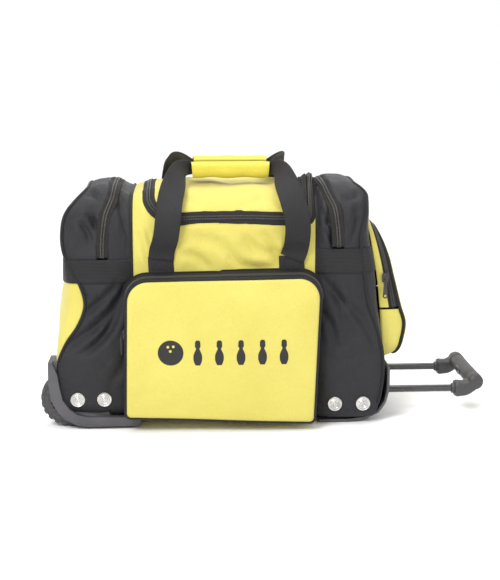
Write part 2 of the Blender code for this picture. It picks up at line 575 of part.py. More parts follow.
# ---- trolley and base ----------------------------------------------------------------------------
def build_trolley():
    """Telescopic handle in the trolley bay, its bracket, the base board and the corner plate."""
    for sign, key in ((-1, "front"), (1, "rear")):
        centre = (sign * TUBE_Y, TUBE_Z)
        sleeve = add(f"sleeve_{key}", cylinder(f"sleeve_{key}", SLEEVE_R, *SLEEVE_X, centre, "X", 24), "tube_enamel")
        boolean(sleeve, cutter(cylinder(f"sleeve_bore_{key}", SLEEVE_BORE, -0.3, 0.3, centre, "X", 24)))
        middle = add(f"middle_tube_{key}", cylinder(f"middle_tube_{key}", MIDDLE_R, *MIDDLE_X, centre, "X", 24),
                     "tube_enamel", (MIDDLE_X[1], *centre))
        boolean(middle, cutter(cylinder(f"middle_bore_{key}", MIDDLE_BORE, -0.3, 0.3, centre, "X", 24)))
        add(f"inner_tube_{key}", cylinder(f"inner_tube_{key}", INNER_R, *INNER_X, centre, "X", 24),
            "tube_enamel", (INNER_X[1], *centre))
    half = TUBE_Y + 0.014
    bracket = add("tube_bracket", box("tube_bracket", (-0.1965, -half, 0.0285), (-0.1867, half, 0.0515)), "housing_plastic")
    soften(bracket, 0.0015)
    add("base_board", box("base_board", (-0.168, -0.098, 0.0243), (0.236, 0.098, 0.0273)), "board")
    inner = [(px - CAP_THICK, pz) for px, pz in CAP_OUT[:2]]
    inner += [(px - 0.7 * CAP_THICK, pz + 0.7 * CAP_THICK) for px, pz in CAP_OUT[2:5]]
    inner += [(px, pz + CAP_THICK) for px, pz in CAP_OUT[5:]]
    cap = add("corner_plate", plate("corner_plate", list(CAP_OUT) + inner[::-1], -0.118, 0.118), "housing_plastic")
    for sign, key in ((-1, "front"), (1, "rear")):
        centre = (sign * TUBE_Y, TUBE_Z)
        boolean(cap, cutter(cylinder(f"cap_bore_{key}", MIDDLE_R + GAP, 0.245, 0.27, centre, "X", 24)))
    x0, x1, deep, z0, z1 = ARM
    grip = revolve("trolley_grip", [(0.0, -BAR_HALF), (0.0075, -BAR_HALF + 0.001), (0.0115, -BAR_HALF + 0.005),
                   (BAR_R, -BAR_HALF + 0.011), (BAR_R, BAR_HALF - 0.011), (0.0115, BAR_HALF - 0.005),
                   (0.0075, BAR_HALF - 0.001), (0.0, BAR_HALF)], "grip_plastic", (BAR_X, 0.0, BAR_Z), "Y", steps=24)
    for sign, key in ((-1, "front"), (1, "rear")):
        y = sign * TUBE_Y
        profile = rounded(((x0, z0), (x1 + 0.006, z0), (x1 + 0.022, z1 + 0.002), (x1 - 0.004, z1 + 0.008), (x0 + 0.012, z1),
                           (x0, z1)), (0.005, 0.014, 0.004, 0.004, 0.006, 0.003), 3)
        arm = cutter(plate(f"arm_{key}", profile, y - deep, y + deep))
        boolean(grip, arm, "UNION")
        socket = cylinder(f"socket_{key}", INNER_R + GAP, x0 - 0.01, INNER_X[1] + GAP, (y, TUBE_Z), "X", 24)
        boolean(grip, cutter(socket))
    pocket = cutter(box("button_pocket", (BAR_X - 0.020, -0.0163, BAR_Z - 0.0063), (BAR_X - 0.0050, 0.0163, BAR_Z + 0.0063)))
    boolean(grip, pocket)
    button = add("release_button", box("release_button", (BAR_X - 0.0135, -0.016, BAR_Z - 0.006),
                 (BAR_X - 0.0095, 0.016, BAR_Z + 0.006)), "housing_plastic", (BAR_X - 0.0135, 0.0, BAR_Z))
    soften(button, 0.001)


def build_rivets():
    """Washers and domed rivets that hold the housings and the corner plate."""
    spots = ((-0.217, 0.045), (-0.177, 0.045), (0.173, 0.033), (0.216, 0.033))
    profile = [(0.0, 0.0), (0.0110, 0.0), (0.0100, 0.0016), (0.0064, 0.0011), (0.0050, 0.0022), (0.0, 0.0028)]
    for sign, side in ((-1, "front"), (1, "rear")):
        for index, (x, z) in enumerate(spots, 1):
            node = revolve(f"rivet_{side}_{index}", profile[::-1], "rivet_steel",
                           (x, sign * (BODY_DEPTH + GAP + 0.0001), z), "Y", steps=20)
            node.rotation_euler = (-sign * math.pi / 2, 0.0, 0.0)


# ---- zip sliders ---------------------------------------------------------------------------------
def slider(name, place, turn):
    """Slider body on a zip."""
    shape = box(name, (-0.0050, -0.0040, -0.0075), (0.0050, 0.0, 0.0075))
    shape.transform(Matrix.Rotation(turn, 4, "Z"))
    node = add(name, shape, "zip_black")
    node.location = place
    soften(node, 0.0012)
    return node


def puller(name, place, turn, length=0.030):
    """Pull tag with a round hole at its lower end, hanging from its slider."""
    shape = box(name, (-0.0035, -0.0020, -length), (0.0035, -0.0004, -0.0003))
    shape.transform(Matrix.Rotation(turn, 4, "Z"))
    node = add(name, shape, "zip_black")
    node.location = place
    hole = cylinder(f"{name}_hole", 0.0018, -0.006, 0.004, (0.0, -length + 0.0045), "Y", 12)
    hole.transform(Matrix.Rotation(turn, 4, "Z"))
    tool = cutter(hole)
    tool.location = place
    boolean(node, tool)
    return node


def build_sliders():
    """Sliders and pullers of the five zips."""
    top = -0.0078
    front = -0.125 - GAP - 0.0001
    spot = (0.128, front, 0.3145)
    slider("slider_main", spot, 0.0)
    puller("puller_main", (spot[0], spot[1] - 0.0045, spot[2] + top + 0.006), 0.0, 0.024)
    spot = (POCKET[3][0] - 0.0012 - 0.0032, -0.1518, 0.150)
    slider("slider_pocket", spot, -math.pi / 2)
    puller("puller_pocket", (spot[0] - 0.0045, spot[1], spot[2] - 0.002), -math.pi / 2)
    spot = (0.2515, -0.0980, 0.222)
    slider("slider_end", spot, 0.0)
    puller("puller_end", (spot[0], spot[1] - 0.0045, spot[2] - 0.002), 0.0)
    for name, x, z in (("slider_left", sum(LEFT_ZIP) / 2, LEFT_FLAP_Z + 0.012),
                       ("slider_right", sum(RIGHT_ZIP) / 2, RIGHT_FLAP_Z + 0.012)):
        slider(name, (x, BODY_DEPTH + GAP + 0.0001, z), math.pi)


def build_cup():
    """Foam cup that the ball sits in."""
    centre = (LEFT_SEAM + RIGHT_SEAM) / 2
    cup = add("ball_cup", cylinder("ball_cup", 0.104, FLOOR_Z + GAP, 0.092, (centre, 0.0), "Z", 40), "foam")
    shape = bmesh.new()
    bmesh.ops.create_uvsphere(shape, u_segments=40, v_segments=24, radius=0.110)
    bmesh.ops.translate(shape, vec=(centre, 0.0, 0.176), verts=shape.verts)
    boolean(cup, cutter(from_bmesh("ball_space", shape)))


build_body(build_regions())
build_bands()
build_ends()
build_pocket()
build_straps()
build_wheels()
build_trolley()
build_rivets()
build_sliders()
build_cup()
bpy.context.view_layer.update()
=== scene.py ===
"""Looks of a wheeled bowling ball bag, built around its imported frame.

Lengths are metres. Every class works in bag coordinates, measured from the middle of the fabric
body on the floor with the front at -Y; Maker adds the shift to the frame when it writes a mesh.
"""
import logging
import math
from collections.abc import Callable, Sequence
from dataclasses import dataclass, field
from enum import Enum

import bpy
import numpy as np
from mathutils import Matrix, Vector


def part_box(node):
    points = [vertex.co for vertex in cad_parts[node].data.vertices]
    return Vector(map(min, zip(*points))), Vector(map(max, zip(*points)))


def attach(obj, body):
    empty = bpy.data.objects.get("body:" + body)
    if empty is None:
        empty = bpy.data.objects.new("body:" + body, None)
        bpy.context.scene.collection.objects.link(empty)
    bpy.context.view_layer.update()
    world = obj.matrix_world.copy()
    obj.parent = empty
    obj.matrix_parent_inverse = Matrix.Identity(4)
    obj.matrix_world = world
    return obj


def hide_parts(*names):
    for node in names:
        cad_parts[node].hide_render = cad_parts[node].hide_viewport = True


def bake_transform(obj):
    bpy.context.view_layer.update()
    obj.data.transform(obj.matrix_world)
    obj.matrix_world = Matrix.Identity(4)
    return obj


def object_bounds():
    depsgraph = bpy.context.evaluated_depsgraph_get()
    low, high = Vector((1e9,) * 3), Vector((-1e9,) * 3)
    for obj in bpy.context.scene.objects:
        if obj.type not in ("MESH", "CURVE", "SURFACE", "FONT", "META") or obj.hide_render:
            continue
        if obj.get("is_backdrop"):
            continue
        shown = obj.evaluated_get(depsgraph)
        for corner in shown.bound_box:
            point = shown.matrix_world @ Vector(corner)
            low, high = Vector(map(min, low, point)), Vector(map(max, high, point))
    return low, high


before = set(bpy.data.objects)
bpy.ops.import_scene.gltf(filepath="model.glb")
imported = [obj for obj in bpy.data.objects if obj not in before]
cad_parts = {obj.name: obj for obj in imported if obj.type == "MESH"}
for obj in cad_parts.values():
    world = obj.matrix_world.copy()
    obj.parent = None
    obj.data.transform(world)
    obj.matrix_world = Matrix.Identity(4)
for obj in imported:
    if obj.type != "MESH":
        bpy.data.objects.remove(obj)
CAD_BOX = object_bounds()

Array = np.ndarray
log = logging.getLogger("bowling_bag")

AXLE = (-0.231, 0.043)      # x and z of the axles in bag coordinates
SIDES = ((-1.0, "front"), (1.0, "rear"))
FLOOR_TOP = 0.0582          # upper face of the compartment floors
DIVIDER_FOOT = 0.0590       # lowest height of the section that the dividers are drawn in from


def bag_shift() -> Array:
    """Shift from bag coordinates to the frame, read from the two axles."""
    low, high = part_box("axle_front")
    _, back_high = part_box("axle_rear")
    return np.array([(low.x + high.x) / 2 - AXLE[0], (low.y + back_high.y) / 2, 0.0])


SHIFT = bag_shift()


# ---- numbers along a line ------------------------------------------------------------------------
@dataclass(frozen=True)
class Course:
    """One value that runs smoothly through knots of (place, value)."""

    knots: tuple[tuple[float, float], ...]

    def __call__(self, at: Array | float) -> Array:
        """Value at each place: cubic pieces whose slopes come from the neighbouring knots.

        Args:
            at: places along the line.

        Returns:
            The values, held constant past both ends.
        """
        place, value = np.array(self.knots, float).T
        slope = np.gradient(value, place)
        at = np.asarray(at, float)
        i = np.clip(np.searchsorted(place, at) - 1, 0, len(place) - 2)
        step = place[i + 1] - place[i]
        t = np.clip((at - place[i]) / step, 0.0, 1.0)
        rise = (1 + 2 * t) * (1 - t) ** 2 * value[i] + t * t * (3 - 2 * t) * value[i + 1]
        return rise + step * (t * (1 - t) ** 2 * slope[i] - t * t * (1 - t) * slope[i + 1])


def unit(vectors: Array) -> Array:
    """Vectors made one long."""
    return vectors / np.maximum(np.linalg.norm(vectors, axis=-1, keepdims=True), 1e-12)


def ease(value: Array, low: float, high: float) -> Array:
    """Smooth step from 0 at low to 1 at high."""
    t = np.clip((np.asarray(value, float) - low) / (high - low), 0.0, 1.0)
    return t * t * (3 - 2 * t)


def smooth_path(stops: Sequence[Sequence[float]], count: int) -> Array:
    """Path through stops of any width, evenly spaced along its first three columns.

    Each column is a cubic through the stops over the distance run; then the path is read again at
    equal distances.

    Args:
        stops: rows of x, y, z and any other values.
        count: how many points to return.

    Returns:
        Array of count rows.
    """
    rows = np.array(stops, float)
    run = np.concatenate([[0.0], np.cumsum(np.linalg.norm(np.diff(rows[:, :3], axis=0), axis=1))])
    fine = np.linspace(0.0, run[-1], count * 6)
    dense = np.stack([Course(tuple(zip(run, column)))(fine) for column in rows.T], axis=1)
    gone = np.concatenate([[0.0], np.cumsum(np.linalg.norm(np.diff(dense[:, :3], axis=0), axis=1))])
    even = np.linspace(0.0, gone[-1], count)
    return np.stack([np.interp(even, gone, column) for column in dense.T], axis=1)


def polygon_distance(x: Array, z: Array, corners: Sequence[tuple[float, float]]) -> Array:
    """Distance from a polygon's edge, positive outside it.

    The nearest point of each edge gives the distance, and the number of edges crossed by a ray
    gives the sign.

    Args:
        x: first coordinates.
        z: second coordinates.
        corners: polygon corners in order.

    Returns:
        Array shaped like x.
    """
    a = np.array(corners, float)
    b = np.roll(a, -1, axis=0)
    p = np.stack([x, z], axis=-1)[..., None, :]
    along = b - a
    t = np.clip(((p - a) * along).sum(-1) / (along**2).sum(-1), 0.0, 1.0)
    away = np.linalg.norm(p - (a + t[..., None] * along), axis=-1).min(-1)
    px, pz = p[..., 0], p[..., 1]
    crosses = (a[:, 1] > pz) != (b[:, 1] > pz)
    rise = np.where(np.abs(along[:, 1]) < 1e-12, 1e-12, along[:, 1])
    hit = px < a[:, 0] + (pz - a[:, 1]) * along[:, 0] / rise
    inside = (crosses & hit).sum(-1) % 2 == 1
    return np.where(inside, -away, away)


def rounded_box(x: Array, y: Array, low: Sequence[float], high: Sequence[float],
                rounds: Sequence[float]) -> Array:
    """Distance inside a box with rounded corners, positive inside.

    Args:
        x: first coordinates.
        y: second coordinates.
        low: lowest corner.
        high: highest corner.
        rounds: corner radii at (low, low), (high, low), (high, high), (low, high).

    Returns:
        Array shaped like x.
    """
    cx, cy = (low[0] + high[0]) / 2, (low[1] + high[1]) / 2
    right, up = x > cx, y > cy
    radius = np.where(up, np.where(right, rounds[2], rounds[3]), np.where(right, rounds[1], rounds[0]))
    qx = np.abs(x - cx) - (high[0] - low[0]) / 2 + radius
    qy = np.abs(y - cy) - (high[1] - low[1]) / 2 + radius
    outside = np.hypot(np.maximum(qx, 0), np.maximum(qy, 0)) + np.minimum(np.maximum(qx, qy), 0)
    return radius - outside


def ripple(points: Array, scale: float, seed: float) -> Array:
    """Soft unevenness of cloth between -1 and 1: sines of bent coordinates, summed over three sizes.

    Args:
        points: places, in metres.
        scale: size of the largest swell, in metres.
        seed: shifts the pattern.

    Returns:
        One number for each point.
    """
    x, y, z = np.moveaxis(points / scale, -1, 0)
    total = np.zeros_like(x)
    for size, weight in ((1.0, 0.6), (1.9, 0.28), (3.7, 0.12)):
        bent = 1.3 * np.sin(size * (0.7 * x - 1.1 * z + 0.9 * y) + seed * 1.7)
        total += weight * np.sin(size * (1.5 * x + 0.6 * z) + bent + seed)
        total += weight * 0.7 * np.sin(size * (1.2 * z - 0.8 * y) - 1.4 * bent + 2.1 * seed)
    return total / 1.7


@dataclass(frozen=True)
class Crease:
    """A fold in cloth, seen from the front: a groove (or a ridge when depth is negative)."""

    x0: float
    z0: float
    x1: float
    z1: float
    width: float
    depth: float

    def __call__(self, points: Array) -> Array:
        """Depth of the fold at each point.

        Across the line the fold is a bell with a shallow lip on both sides; along it the depth
        fades to nothing at both ends.

        Args:
            points: places, in metres.

        Returns:
            Inward displacement, in metres.
        """
        a = np.array([self.x0, self.z0])
        along = np.array([self.x1, self.z1]) - a
        length = np.linalg.norm(along)
        rel = np.stack([points[..., 0], points[..., 2]], axis=-1) - a
        t = (rel @ along) / length**2
        off = (rel @ np.array([-along[1], along[0]])) / length
        off = off - 0.12 * length * np.sin(math.pi * np.clip(t, 0, 1)) * math.copysign(1, self.width)
        bell = off / abs(self.width)
        across = (1.0 - 0.9 * bell**2) * np.exp(-(bell**2))
        fade = np.sin(math.pi * np.clip(t, 0.0, 1.0)) ** 0.7
        return self.depth * across * fade


# ---- meshes --------------------------------------------------------------------------------------
@dataclass
class Patch:
    """Part of a mesh: points, faces as lists of point numbers, and a cloth coordinate per point."""

    points: Array
    faces: list[list[int]]
    uv: Array

    def joined(self, other: "Patch") -> "Patch":
        """This patch and another as one."""
        shift = len(self.points)
        moved = [[i + shift for i in face] for face in other.faces]
        return Patch(np.vstack([self.points, other.points]), self.faces + moved,
                     np.vstack([self.uv, other.uv]))

    def flipped(self) -> "Patch":
        """The patch with its faces turned over."""
        return Patch(self.points, [face[::-1] for face in self.faces], self.uv)

    def mirrored(self) -> "Patch":
        """The patch mirrored from front to rear, still facing outwards."""
        return Patch(self.points * (1, -1, 1), [face[::-1] for face in self.faces], self.uv)


def grid_faces(rows: int, columns: int, ring: bool = False) -> Array:
    """Four-sided faces of a grid; ring joins the last column to the first."""
    i, j = np.meshgrid(np.arange(rows - 1), np.arange(columns if ring else columns - 1), indexing="ij")
    k = (j + 1) % columns
    return np.stack([i * columns + j, i * columns + k, (i + 1) * columns + k, (i + 1) * columns + j],
                    -1).reshape(-1, 4)


def grid_uv(points: Array) -> Array:
    """Cloth coordinates of a grid, in metres: the mean distance run along its rows and columns."""
    down = np.linalg.norm(np.diff(points, axis=0), axis=-1).mean(1)
    over = np.linalg.norm(np.diff(points, axis=1), axis=-1).mean(0)
    u = np.concatenate([[0.0], np.cumsum(down)])
    v = np.concatenate([[0.0], np.cumsum(over)])
    return np.stack(np.meshgrid(u, v, indexing="ij"), -1)


@dataclass
class Lattice:
    """A surface of two parameters, from which pieces with smooth edges are cut.

    The surface is shape(u, v) moved along its normal by relief(points, u, v).
    """

    u: Array
    v: Array
    shape: Callable[[Array, Array], Array]
    relief: Callable[[Array, Array, Array], Array] | None = None
    turn: float = 1.0

    def place(self, u: Array, v: Array) -> Array:
        """Points at the given parameters, with the relief added along the normal."""
        base = self.shape(u, v)
        if self.relief is None:
            return base
        return base + self.normal(u, v) * self.relief(base, u, v)[..., None]

    def normal(self, u: Array, v: Array) -> Array:
        """Outward normals: the cross product of the two directions of the surface."""
        du, dv = (self.u[-1] - self.u[0]) * 1e-4, (self.v[-1] - self.v[0]) * 1e-4
        along = self.shape(u + du, v) - self.shape(u - du, v)
        over = self.shape(u, v + dv) - self.shape(u, v - dv)
        return unit(np.cross(over, along)) * self.turn

    def cut(self, region: Callable[[Array, Array, Array], Array] | None = None, lift: float = 0.0) -> Patch:
        """Cuts out the part where region is positive.

        Grid points within half a cell of the region's edge are moved onto it along the steepest
        direction, so the edge is smooth and neighbouring pieces share it; cells with three points
        inside become triangles.

        Args:
            region: function of (points, u, v), positive inside; None keeps all.
            lift: distance by which the patch stands off the surface.

        Returns:
            The patch.
        """
        rows, columns = len(self.u), len(self.v)
        i, j = np.meshgrid(np.arange(rows, dtype=float), np.arange(columns, dtype=float), indexing="ij")
        read = lambda a, b: (np.interp(a, np.arange(rows), self.u), np.interp(b, np.arange(columns), self.v))
        faces = grid_faces(rows, columns)
        if region is None:
            inside = np.ones(rows * columns, bool)
            value = inside.astype(float)
        else:
            u, v = read(i, j)
            value = region(self.shape(u, v), u, v)
            gi, gj = np.gradient(value)
            gi[[0, -1]] = 0.0
            gj[:, [0, -1]] = 0.0
            steep = np.maximum(gi**2 + gj**2, 1e-18)
            near = value**2 < 0.26 * steep
            now = value
            for _ in range(3):
                step = np.where(near, now / steep, 0.0)
                i = np.clip(i - np.clip(step * gi, -0.6, 0.6), 0, rows - 1)
                j = np.clip(j - np.clip(step * gj, -0.6, 0.6), 0, columns - 1)
                u, v = read(i, j)
                now = region(self.shape(u, v), u, v)
            inside = ((value > 0) | near).ravel()
            value = np.where(near, 0.0, value).ravel()
        u, v = read(i, j)
        points = self.place(u, v)
        if lift:
            points = points + self.normal(u, v) * lift
        uv = grid_uv(points)
        points, uv = points.reshape(-1, 3), uv.reshape(-1, 2)
        kept = inside[faces]
        whole = faces[kept.all(1) & (value[faces].sum(1) > 0)]
        three = faces[kept.sum(1) == 3]
        corners = three[inside[three]].reshape(-1, 3)
        corners = corners[value[corners].sum(1) > 0]
        if self.turn < 0:
            whole, corners = whole[:, ::-1], corners[:, ::-1]
        used = np.unique(np.concatenate([whole.ravel(), corners.ravel()]))
        renumber = np.zeros(len(points), int)
        renumber[used] = np.arange(len(used))
        made = renumber[whole].tolist() + renumber[corners].tolist()
        return Patch(points[used], made, uv[used])


def sweep(profile: Array, path: Array, across: Array, ends: bool = True,
          scale: Array | None = None) -> Patch:
    """Closed profile carried along a path.

    Each ring is centre + a * across + b * (along x across), with (a, b) from the profile.

    Args:
        profile: closed outline of (a, b), anticlockwise seen along the path.
        path: centres.
        across: direction of a at each centre.
        ends: closes both ends with a face.
        scale: size of the profile at each centre, one or two columns.

    Returns:
        The patch.
    """
    along = unit(np.gradient(path, axis=0))
    wide = unit(across - along * (across * along).sum(1, keepdims=True))
    deep = np.cross(along, wide)
    size = (np.ones((len(path), 2)) if scale is None else
            np.broadcast_to(np.asarray(scale).reshape(len(path), -1), (len(path), 2)))
    a = profile[None, :, 0] * size[:, :1]
    b = profile[None, :, 1] * size[:, 1:]
    points = path[:, None] + a[..., None] * wide[:, None] + b[..., None] * deep[:, None]
    rows, columns = points.shape[:2]
    faces = grid_faces(rows, columns, True)[:, ::-1].tolist()
    if ends:
        faces += [list(range(columns))[::-1], list(range((rows - 1) * columns, rows * columns))]
    uv = grid_uv(np.concatenate([points, points[:, :1]], 1))[:, :-1]
    made = Patch(points.reshape(-1, 3), faces, uv.reshape(-1, 2))
    return made if signed_volume(made) > 0 or not ends else made.flipped()


def signed_volume(patch: Patch) -> float:
    """Volume enclosed by a closed patch, negative if it is inside out."""
    total = 0.0
    for size in {len(face) for face in patch.faces}:
        corners = patch.points[np.array([face for face in patch.faces if len(face) == size])]
        first, rest = corners[:, 0], corners[:, 1:]
        total += np.einsum("ij,ikj->", first, np.cross(rest[:, :-1], rest[:, 1:])) / 6
    return total


def circle(radius: float, sides: int) -> Array:
    """Round profile."""
    angle = np.linspace(0, 2 * math.pi, sides, endpoint=False)
    return radius * np.stack([np.cos(angle), np.sin(angle)], 1)


def flat_profile(width: float, thick: float, crown: float = 0.0) -> Array:
    """Profile of webbing: a flat bar with rounded edges, crowned in the middle."""
    half, round_ = width / 2, thick / 2
    over = np.linspace(-half + round_, half - round_, 9)
    rise = crown * (1 - (over / half) ** 2)
    side = np.linspace(-math.pi / 2, math.pi / 2, 5)[1:-1]
    right = np.stack([half - round_ + round_ * np.cos(side), round_ * np.sin(side)], 1)
    top = np.stack([over[::-1], round_ + rise[::-1]], 1)
    left = np.stack([-half + round_ - round_ * np.cos(side[::-1]), round_ * np.sin(side[::-1])], 1)
    return np.concatenate([np.stack([over, -round_ + rise], 1), right, top, left])


def lathe(profile: Sequence[tuple[float, float]], centre: Sequence[float], axis: str, sides: int = 48,
          lumps: Callable[[Array, Array], Array] | None = None, ring: bool = False) -> Patch:
    """Turned solid: each (radius, height) of the profile becomes a ring about the axis.

    Args:
        profile: radius and height, from one end of the axis to the other.
        centre: where height 0 of the axis lies.
        axis: X, Y or Z.
        sides: points round each ring.
        lumps: added radius as a function of (angle, height).
        ring: joins the profile's end to its start, for a ring with a hole.

    Returns:
        The patch, facing outwards.
    """
    rows = np.array(profile, float)
    angle = np.linspace(0, 2 * math.pi, sides, endpoint=False)
    radius = np.broadcast_to(rows[:, :1], (len(rows), sides)).copy()
    height = np.broadcast_to(rows[:, 1:], (len(rows), sides))
    if lumps is not None:
        radius += lumps(np.broadcast_to(angle, radius.shape), height)
    a, b = radius * np.cos(angle), radius * np.sin(angle)
    order = {"X": (height, a, b), "Y": (b, height, a), "Z": (a, b, height)}[axis]
    points = np.stack(order, -1) + np.array(centre, float)
    faces = grid_faces(len(rows), sides, True).tolist()
    count = (len(rows) - 1) * sides
    if ring:
        turn = np.arange(sides)
        closing = [count + turn, count + (turn + 1) % sides, (turn + 1) % sides, turn]
        faces += np.stack(closing, 1).tolist()
    else:
        faces += [list(range(sides))[::-1], list(range(count, count + sides))]
    uv = grid_uv(np.concatenate([points, points[:, :1]], 1))[:, :-1]
    made = Patch(points.reshape(-1, 3), faces, uv.reshape(-1, 2))
    return made if signed_volume(made) > 0 else made.flipped()


# ---- shader nodes --------------------------------------------------------------------------------
class Value:
    """A number that comes out of a socket and takes part in Python expressions."""

    def __init__(self, recipe: "Recipe", socket: bpy.types.NodeSocket) -> None:
        """Wraps a socket of a recipe."""
        self.recipe = recipe
        self.socket = socket

    def _do(self, operation: str, first: object, second: object = 0.0) -> "Value":
        """Adds one Math node."""
        node = self.recipe.node("ShaderNodeMath", {"operation": operation}, {0: first, 1: second})
        return Value(self.recipe, node.outputs[0])

    def __add__(self, other: object) -> "Value":
        """self + other."""
        return self._do("ADD", self, other)

    __radd__ = __add__

    def __mul__(self, other: object) -> "Value":
        """self * other."""
        return self._do("MULTIPLY", self, other)

    __rmul__ = __mul__

    def __sub__(self, other: object) -> "Value":
        """self - other."""
        return self._do("SUBTRACT", self, other)

    def __rsub__(self, other: object) -> "Value":
        """other - self."""
        return self._do("SUBTRACT", other, self)

    def __truediv__(self, other: object) -> "Value":
        """self / other."""
        return self._do("DIVIDE", self, other)

    def __pow__(self, other: object) -> "Value":
        """self to a power."""
        return self._do("POWER", self, other)

    def __abs__(self) -> "Value":
        """Size of the value."""
        return self._do("ABSOLUTE", self)

    def least(self, other: object) -> "Value":
        """Smaller of two values."""
        return self._do("MINIMUM", self, other)

    def most(self, other: object) -> "Value":
        """Larger of two values."""
        return self._do("MAXIMUM", self, other)

    def exponent(self) -> "Value":
        """e to the power of the value."""
        return self._do("EXPONENT", self)

    def sine(self) -> "Value":
        """Sine of the value."""
        return self._do("SINE", self)

    def ease(self, low: float, high: float) -> "Value":
        """Smooth step from 0 at low to 1 at high."""
        node = self.recipe.node("ShaderNodeMapRange", {"interpolation_type": "SMOOTHSTEP"},
                                {0: self, 1: low, 2: high})
        return Value(self.recipe, node.outputs[0])


class Recipe:
    """Node tree of one material."""

    def __init__(self, name: str) -> None:
        """Starts a material with a Principled shader."""
        self.material = bpy.data.materials.new(name)
        self.material.use_nodes = True
        self.tree = self.material.node_tree
        self.shader = self.tree.nodes["Principled BSDF"]

    def feed(self, socket: bpy.types.NodeSocket, value: object) -> None:
        """Links a socket or a Value, or sets a plain number or colour."""
        if isinstance(value, Value):
            value = value.socket
        if isinstance(value, bpy.types.NodeSocket):
            self.tree.links.new(value, socket)
        elif isinstance(value, (tuple, list)) and len(value) == 3 and socket.type == "RGBA":
            socket.default_value = (*value, 1.0)
        else:
            socket.default_value = value

    def node(self, kind: str, settings: dict | None = None, sockets: dict | None = None) -> bpy.types.Node:
        """Adds any node.

        Args:
            kind: Blender's type of node.
            settings: properties, set first.
            sockets: values or links by socket name or number.

        Returns:
            The node.
        """
        made = self.tree.nodes.new(kind)
        for name, value in (settings or {}).items():
            setattr(made, name, value)
        for name, value in (sockets or {}).items():
            self.feed(made.inputs[name], value)
        return made

    def coordinates(self, which: str = "Object") -> bpy.types.NodeSocket:
        """Object or UV coordinates."""
        return self.node("ShaderNodeTexCoord").outputs[which]

    def axis(self, vector: bpy.types.NodeSocket, which: int) -> Value:
        """One number of a vector."""
        return Value(self, self.node("ShaderNodeSeparateXYZ", None, {0: vector}).outputs[which])

    def noise(self, scale: float, detail: float = 3.0, stretch: Sequence[float] | None = None) -> Value:
        """Noise between 0 and 1 on the object's own coordinates."""
        place = self.coordinates()
        if stretch is not None:
            place = self.node("ShaderNodeMapping", None, {"Vector": place, "Scale": stretch}).outputs[0]
        made = self.node("ShaderNodeTexNoise", None, {"Vector": place, "Scale": scale, "Detail": detail})
        return Value(self, made.outputs["Fac"])

    def blend(self, share: object, first: object, second: object) -> bpy.types.NodeSocket:
        """Colour between two colours."""
        made = self.node("ShaderNodeMix", {"data_type": "RGBA"}, {"Factor": share, 6: first, 7: second})
        return made.outputs[2]

    def bump(self, height: Value, strength: float, distance: float,
             under: object = None) -> bpy.types.NodeSocket:
        """Normal bent by a height."""
        sockets = {"Strength": strength, "Distance": distance, "Height": height}
        if under is not None:
            sockets["Normal"] = under
        return self.node("ShaderNodeBump", None, sockets).outputs[0]

    def finish(self, **sockets: object) -> bpy.types.Material:
        """Feeds the shader's sockets, named with underscores, and returns the material."""
        for name, value in sockets.items():
            self.feed(self.shader.inputs[name.replace("_", " ")], value)
        return self.material


Colour = tuple[float, float, float]


@dataclass(frozen=True)
class CoatedCloth:
    """Coated polyester: a fine plain weave with uneven dye, soft sheen and faint scuffs.

    Where ink is given, a printed row of bowling pins beside a ball shows on the cloth."""

    colour: Colour
    shade: Colour
    roughness: float = 0.62
    thread: float = 0.0009
    weave: float = 0.35
    sheen: float = 0.15
    crumple: float = 0.5
    shine: float = 0.4
    ink: Colour | None = None

    def material(self, name: str) -> bpy.types.Material:
        """Material whose weave is the product of two sine waves along the cloth coordinates.

        Args:
            name: name of the material.

        Returns:
            The finished material.
        """
        r = Recipe(name)
        cloth = r.coordinates("UV")
        pitch = 2 * math.pi / self.thread
        warp = (r.axis(cloth, 0) * pitch).sine()
        weft = (r.axis(cloth, 1) * pitch).sine()
        weave = warp * weft
        patches, grains = r.noise(9.0, 4.0), r.noise(420.0, 2.0)
        crush = r.noise(34.0, 5.0)
        tone = (patches - 0.5) * 0.7 + (grains - 0.5) * 0.5 + 0.5 - weave * 0.12
        colour = r.blend(tone.ease(0.1, 0.9), self.shade, self.colour)
        if self.ink is not None:
            colour = r.blend(self.emblem(r.axis(cloth, 0), r.axis(cloth, 1)), colour, self.ink)
        folds = r.bump(crush, 0.16 * self.crumple, 0.02)
        threads = r.bump(weave + grains * 0.8, self.weave, 0.0004, folds)
        rough = (grains - 0.5) * 0.18 + (patches - 0.5) * 0.12 + self.roughness
        return r.finish(Base_Color=colour, Roughness=rough, Normal=threads, Sheen_Weight=self.sheen,
                        Sheen_Roughness=0.45, Specular_IOR_Level=self.shine)


    def emblem(self, p: Value, q: Value) -> Value:
        """Share of ink: a ball with three finger holes, then five pins, drawn by distances in metres.

        A pin's half width at a height is the sum of two bells, for its belly and its head.

        Args:
            p: cloth coordinate to the right.
            q: cloth coordinate upwards.

        Returns:
            1 on the print and 0 off it.
        """
        middle, tall, edge = 0.124, 0.019, 0.0002
        rise = q - middle
        spot = lambda x, z, radius: (((p - x) ** 2 + (rise - z) ** 2) ** 0.5 * -1 + radius).ease(-edge, edge)
        ball = spot(-0.076, 0.0, tall)
        for x, z in ((-0.080, 0.009), (-0.072, 0.0095), (-0.0765, 0.0025)):
            ball = ball * (1 - spot(x, z, 0.0020))
        bell = lambda place, width, power: (abs((rise - place) / width) ** power * -1).exponent()
        half = bell(-0.0075, 0.0120, 2.6) * 0.0054 + bell(0.0132, 0.0056, 5.0) * 0.0028 + 0.0012
        pins = None
        for place in np.arange(5) * 0.032 - 0.036:
            pin = (half - abs(p - float(place))).ease(-edge, edge)
            pins = pin if pins is None else pins + pin
        pins = pins * (tall - abs(rise)).ease(-edge, edge)
        return ball.most(pins.least(1.0))


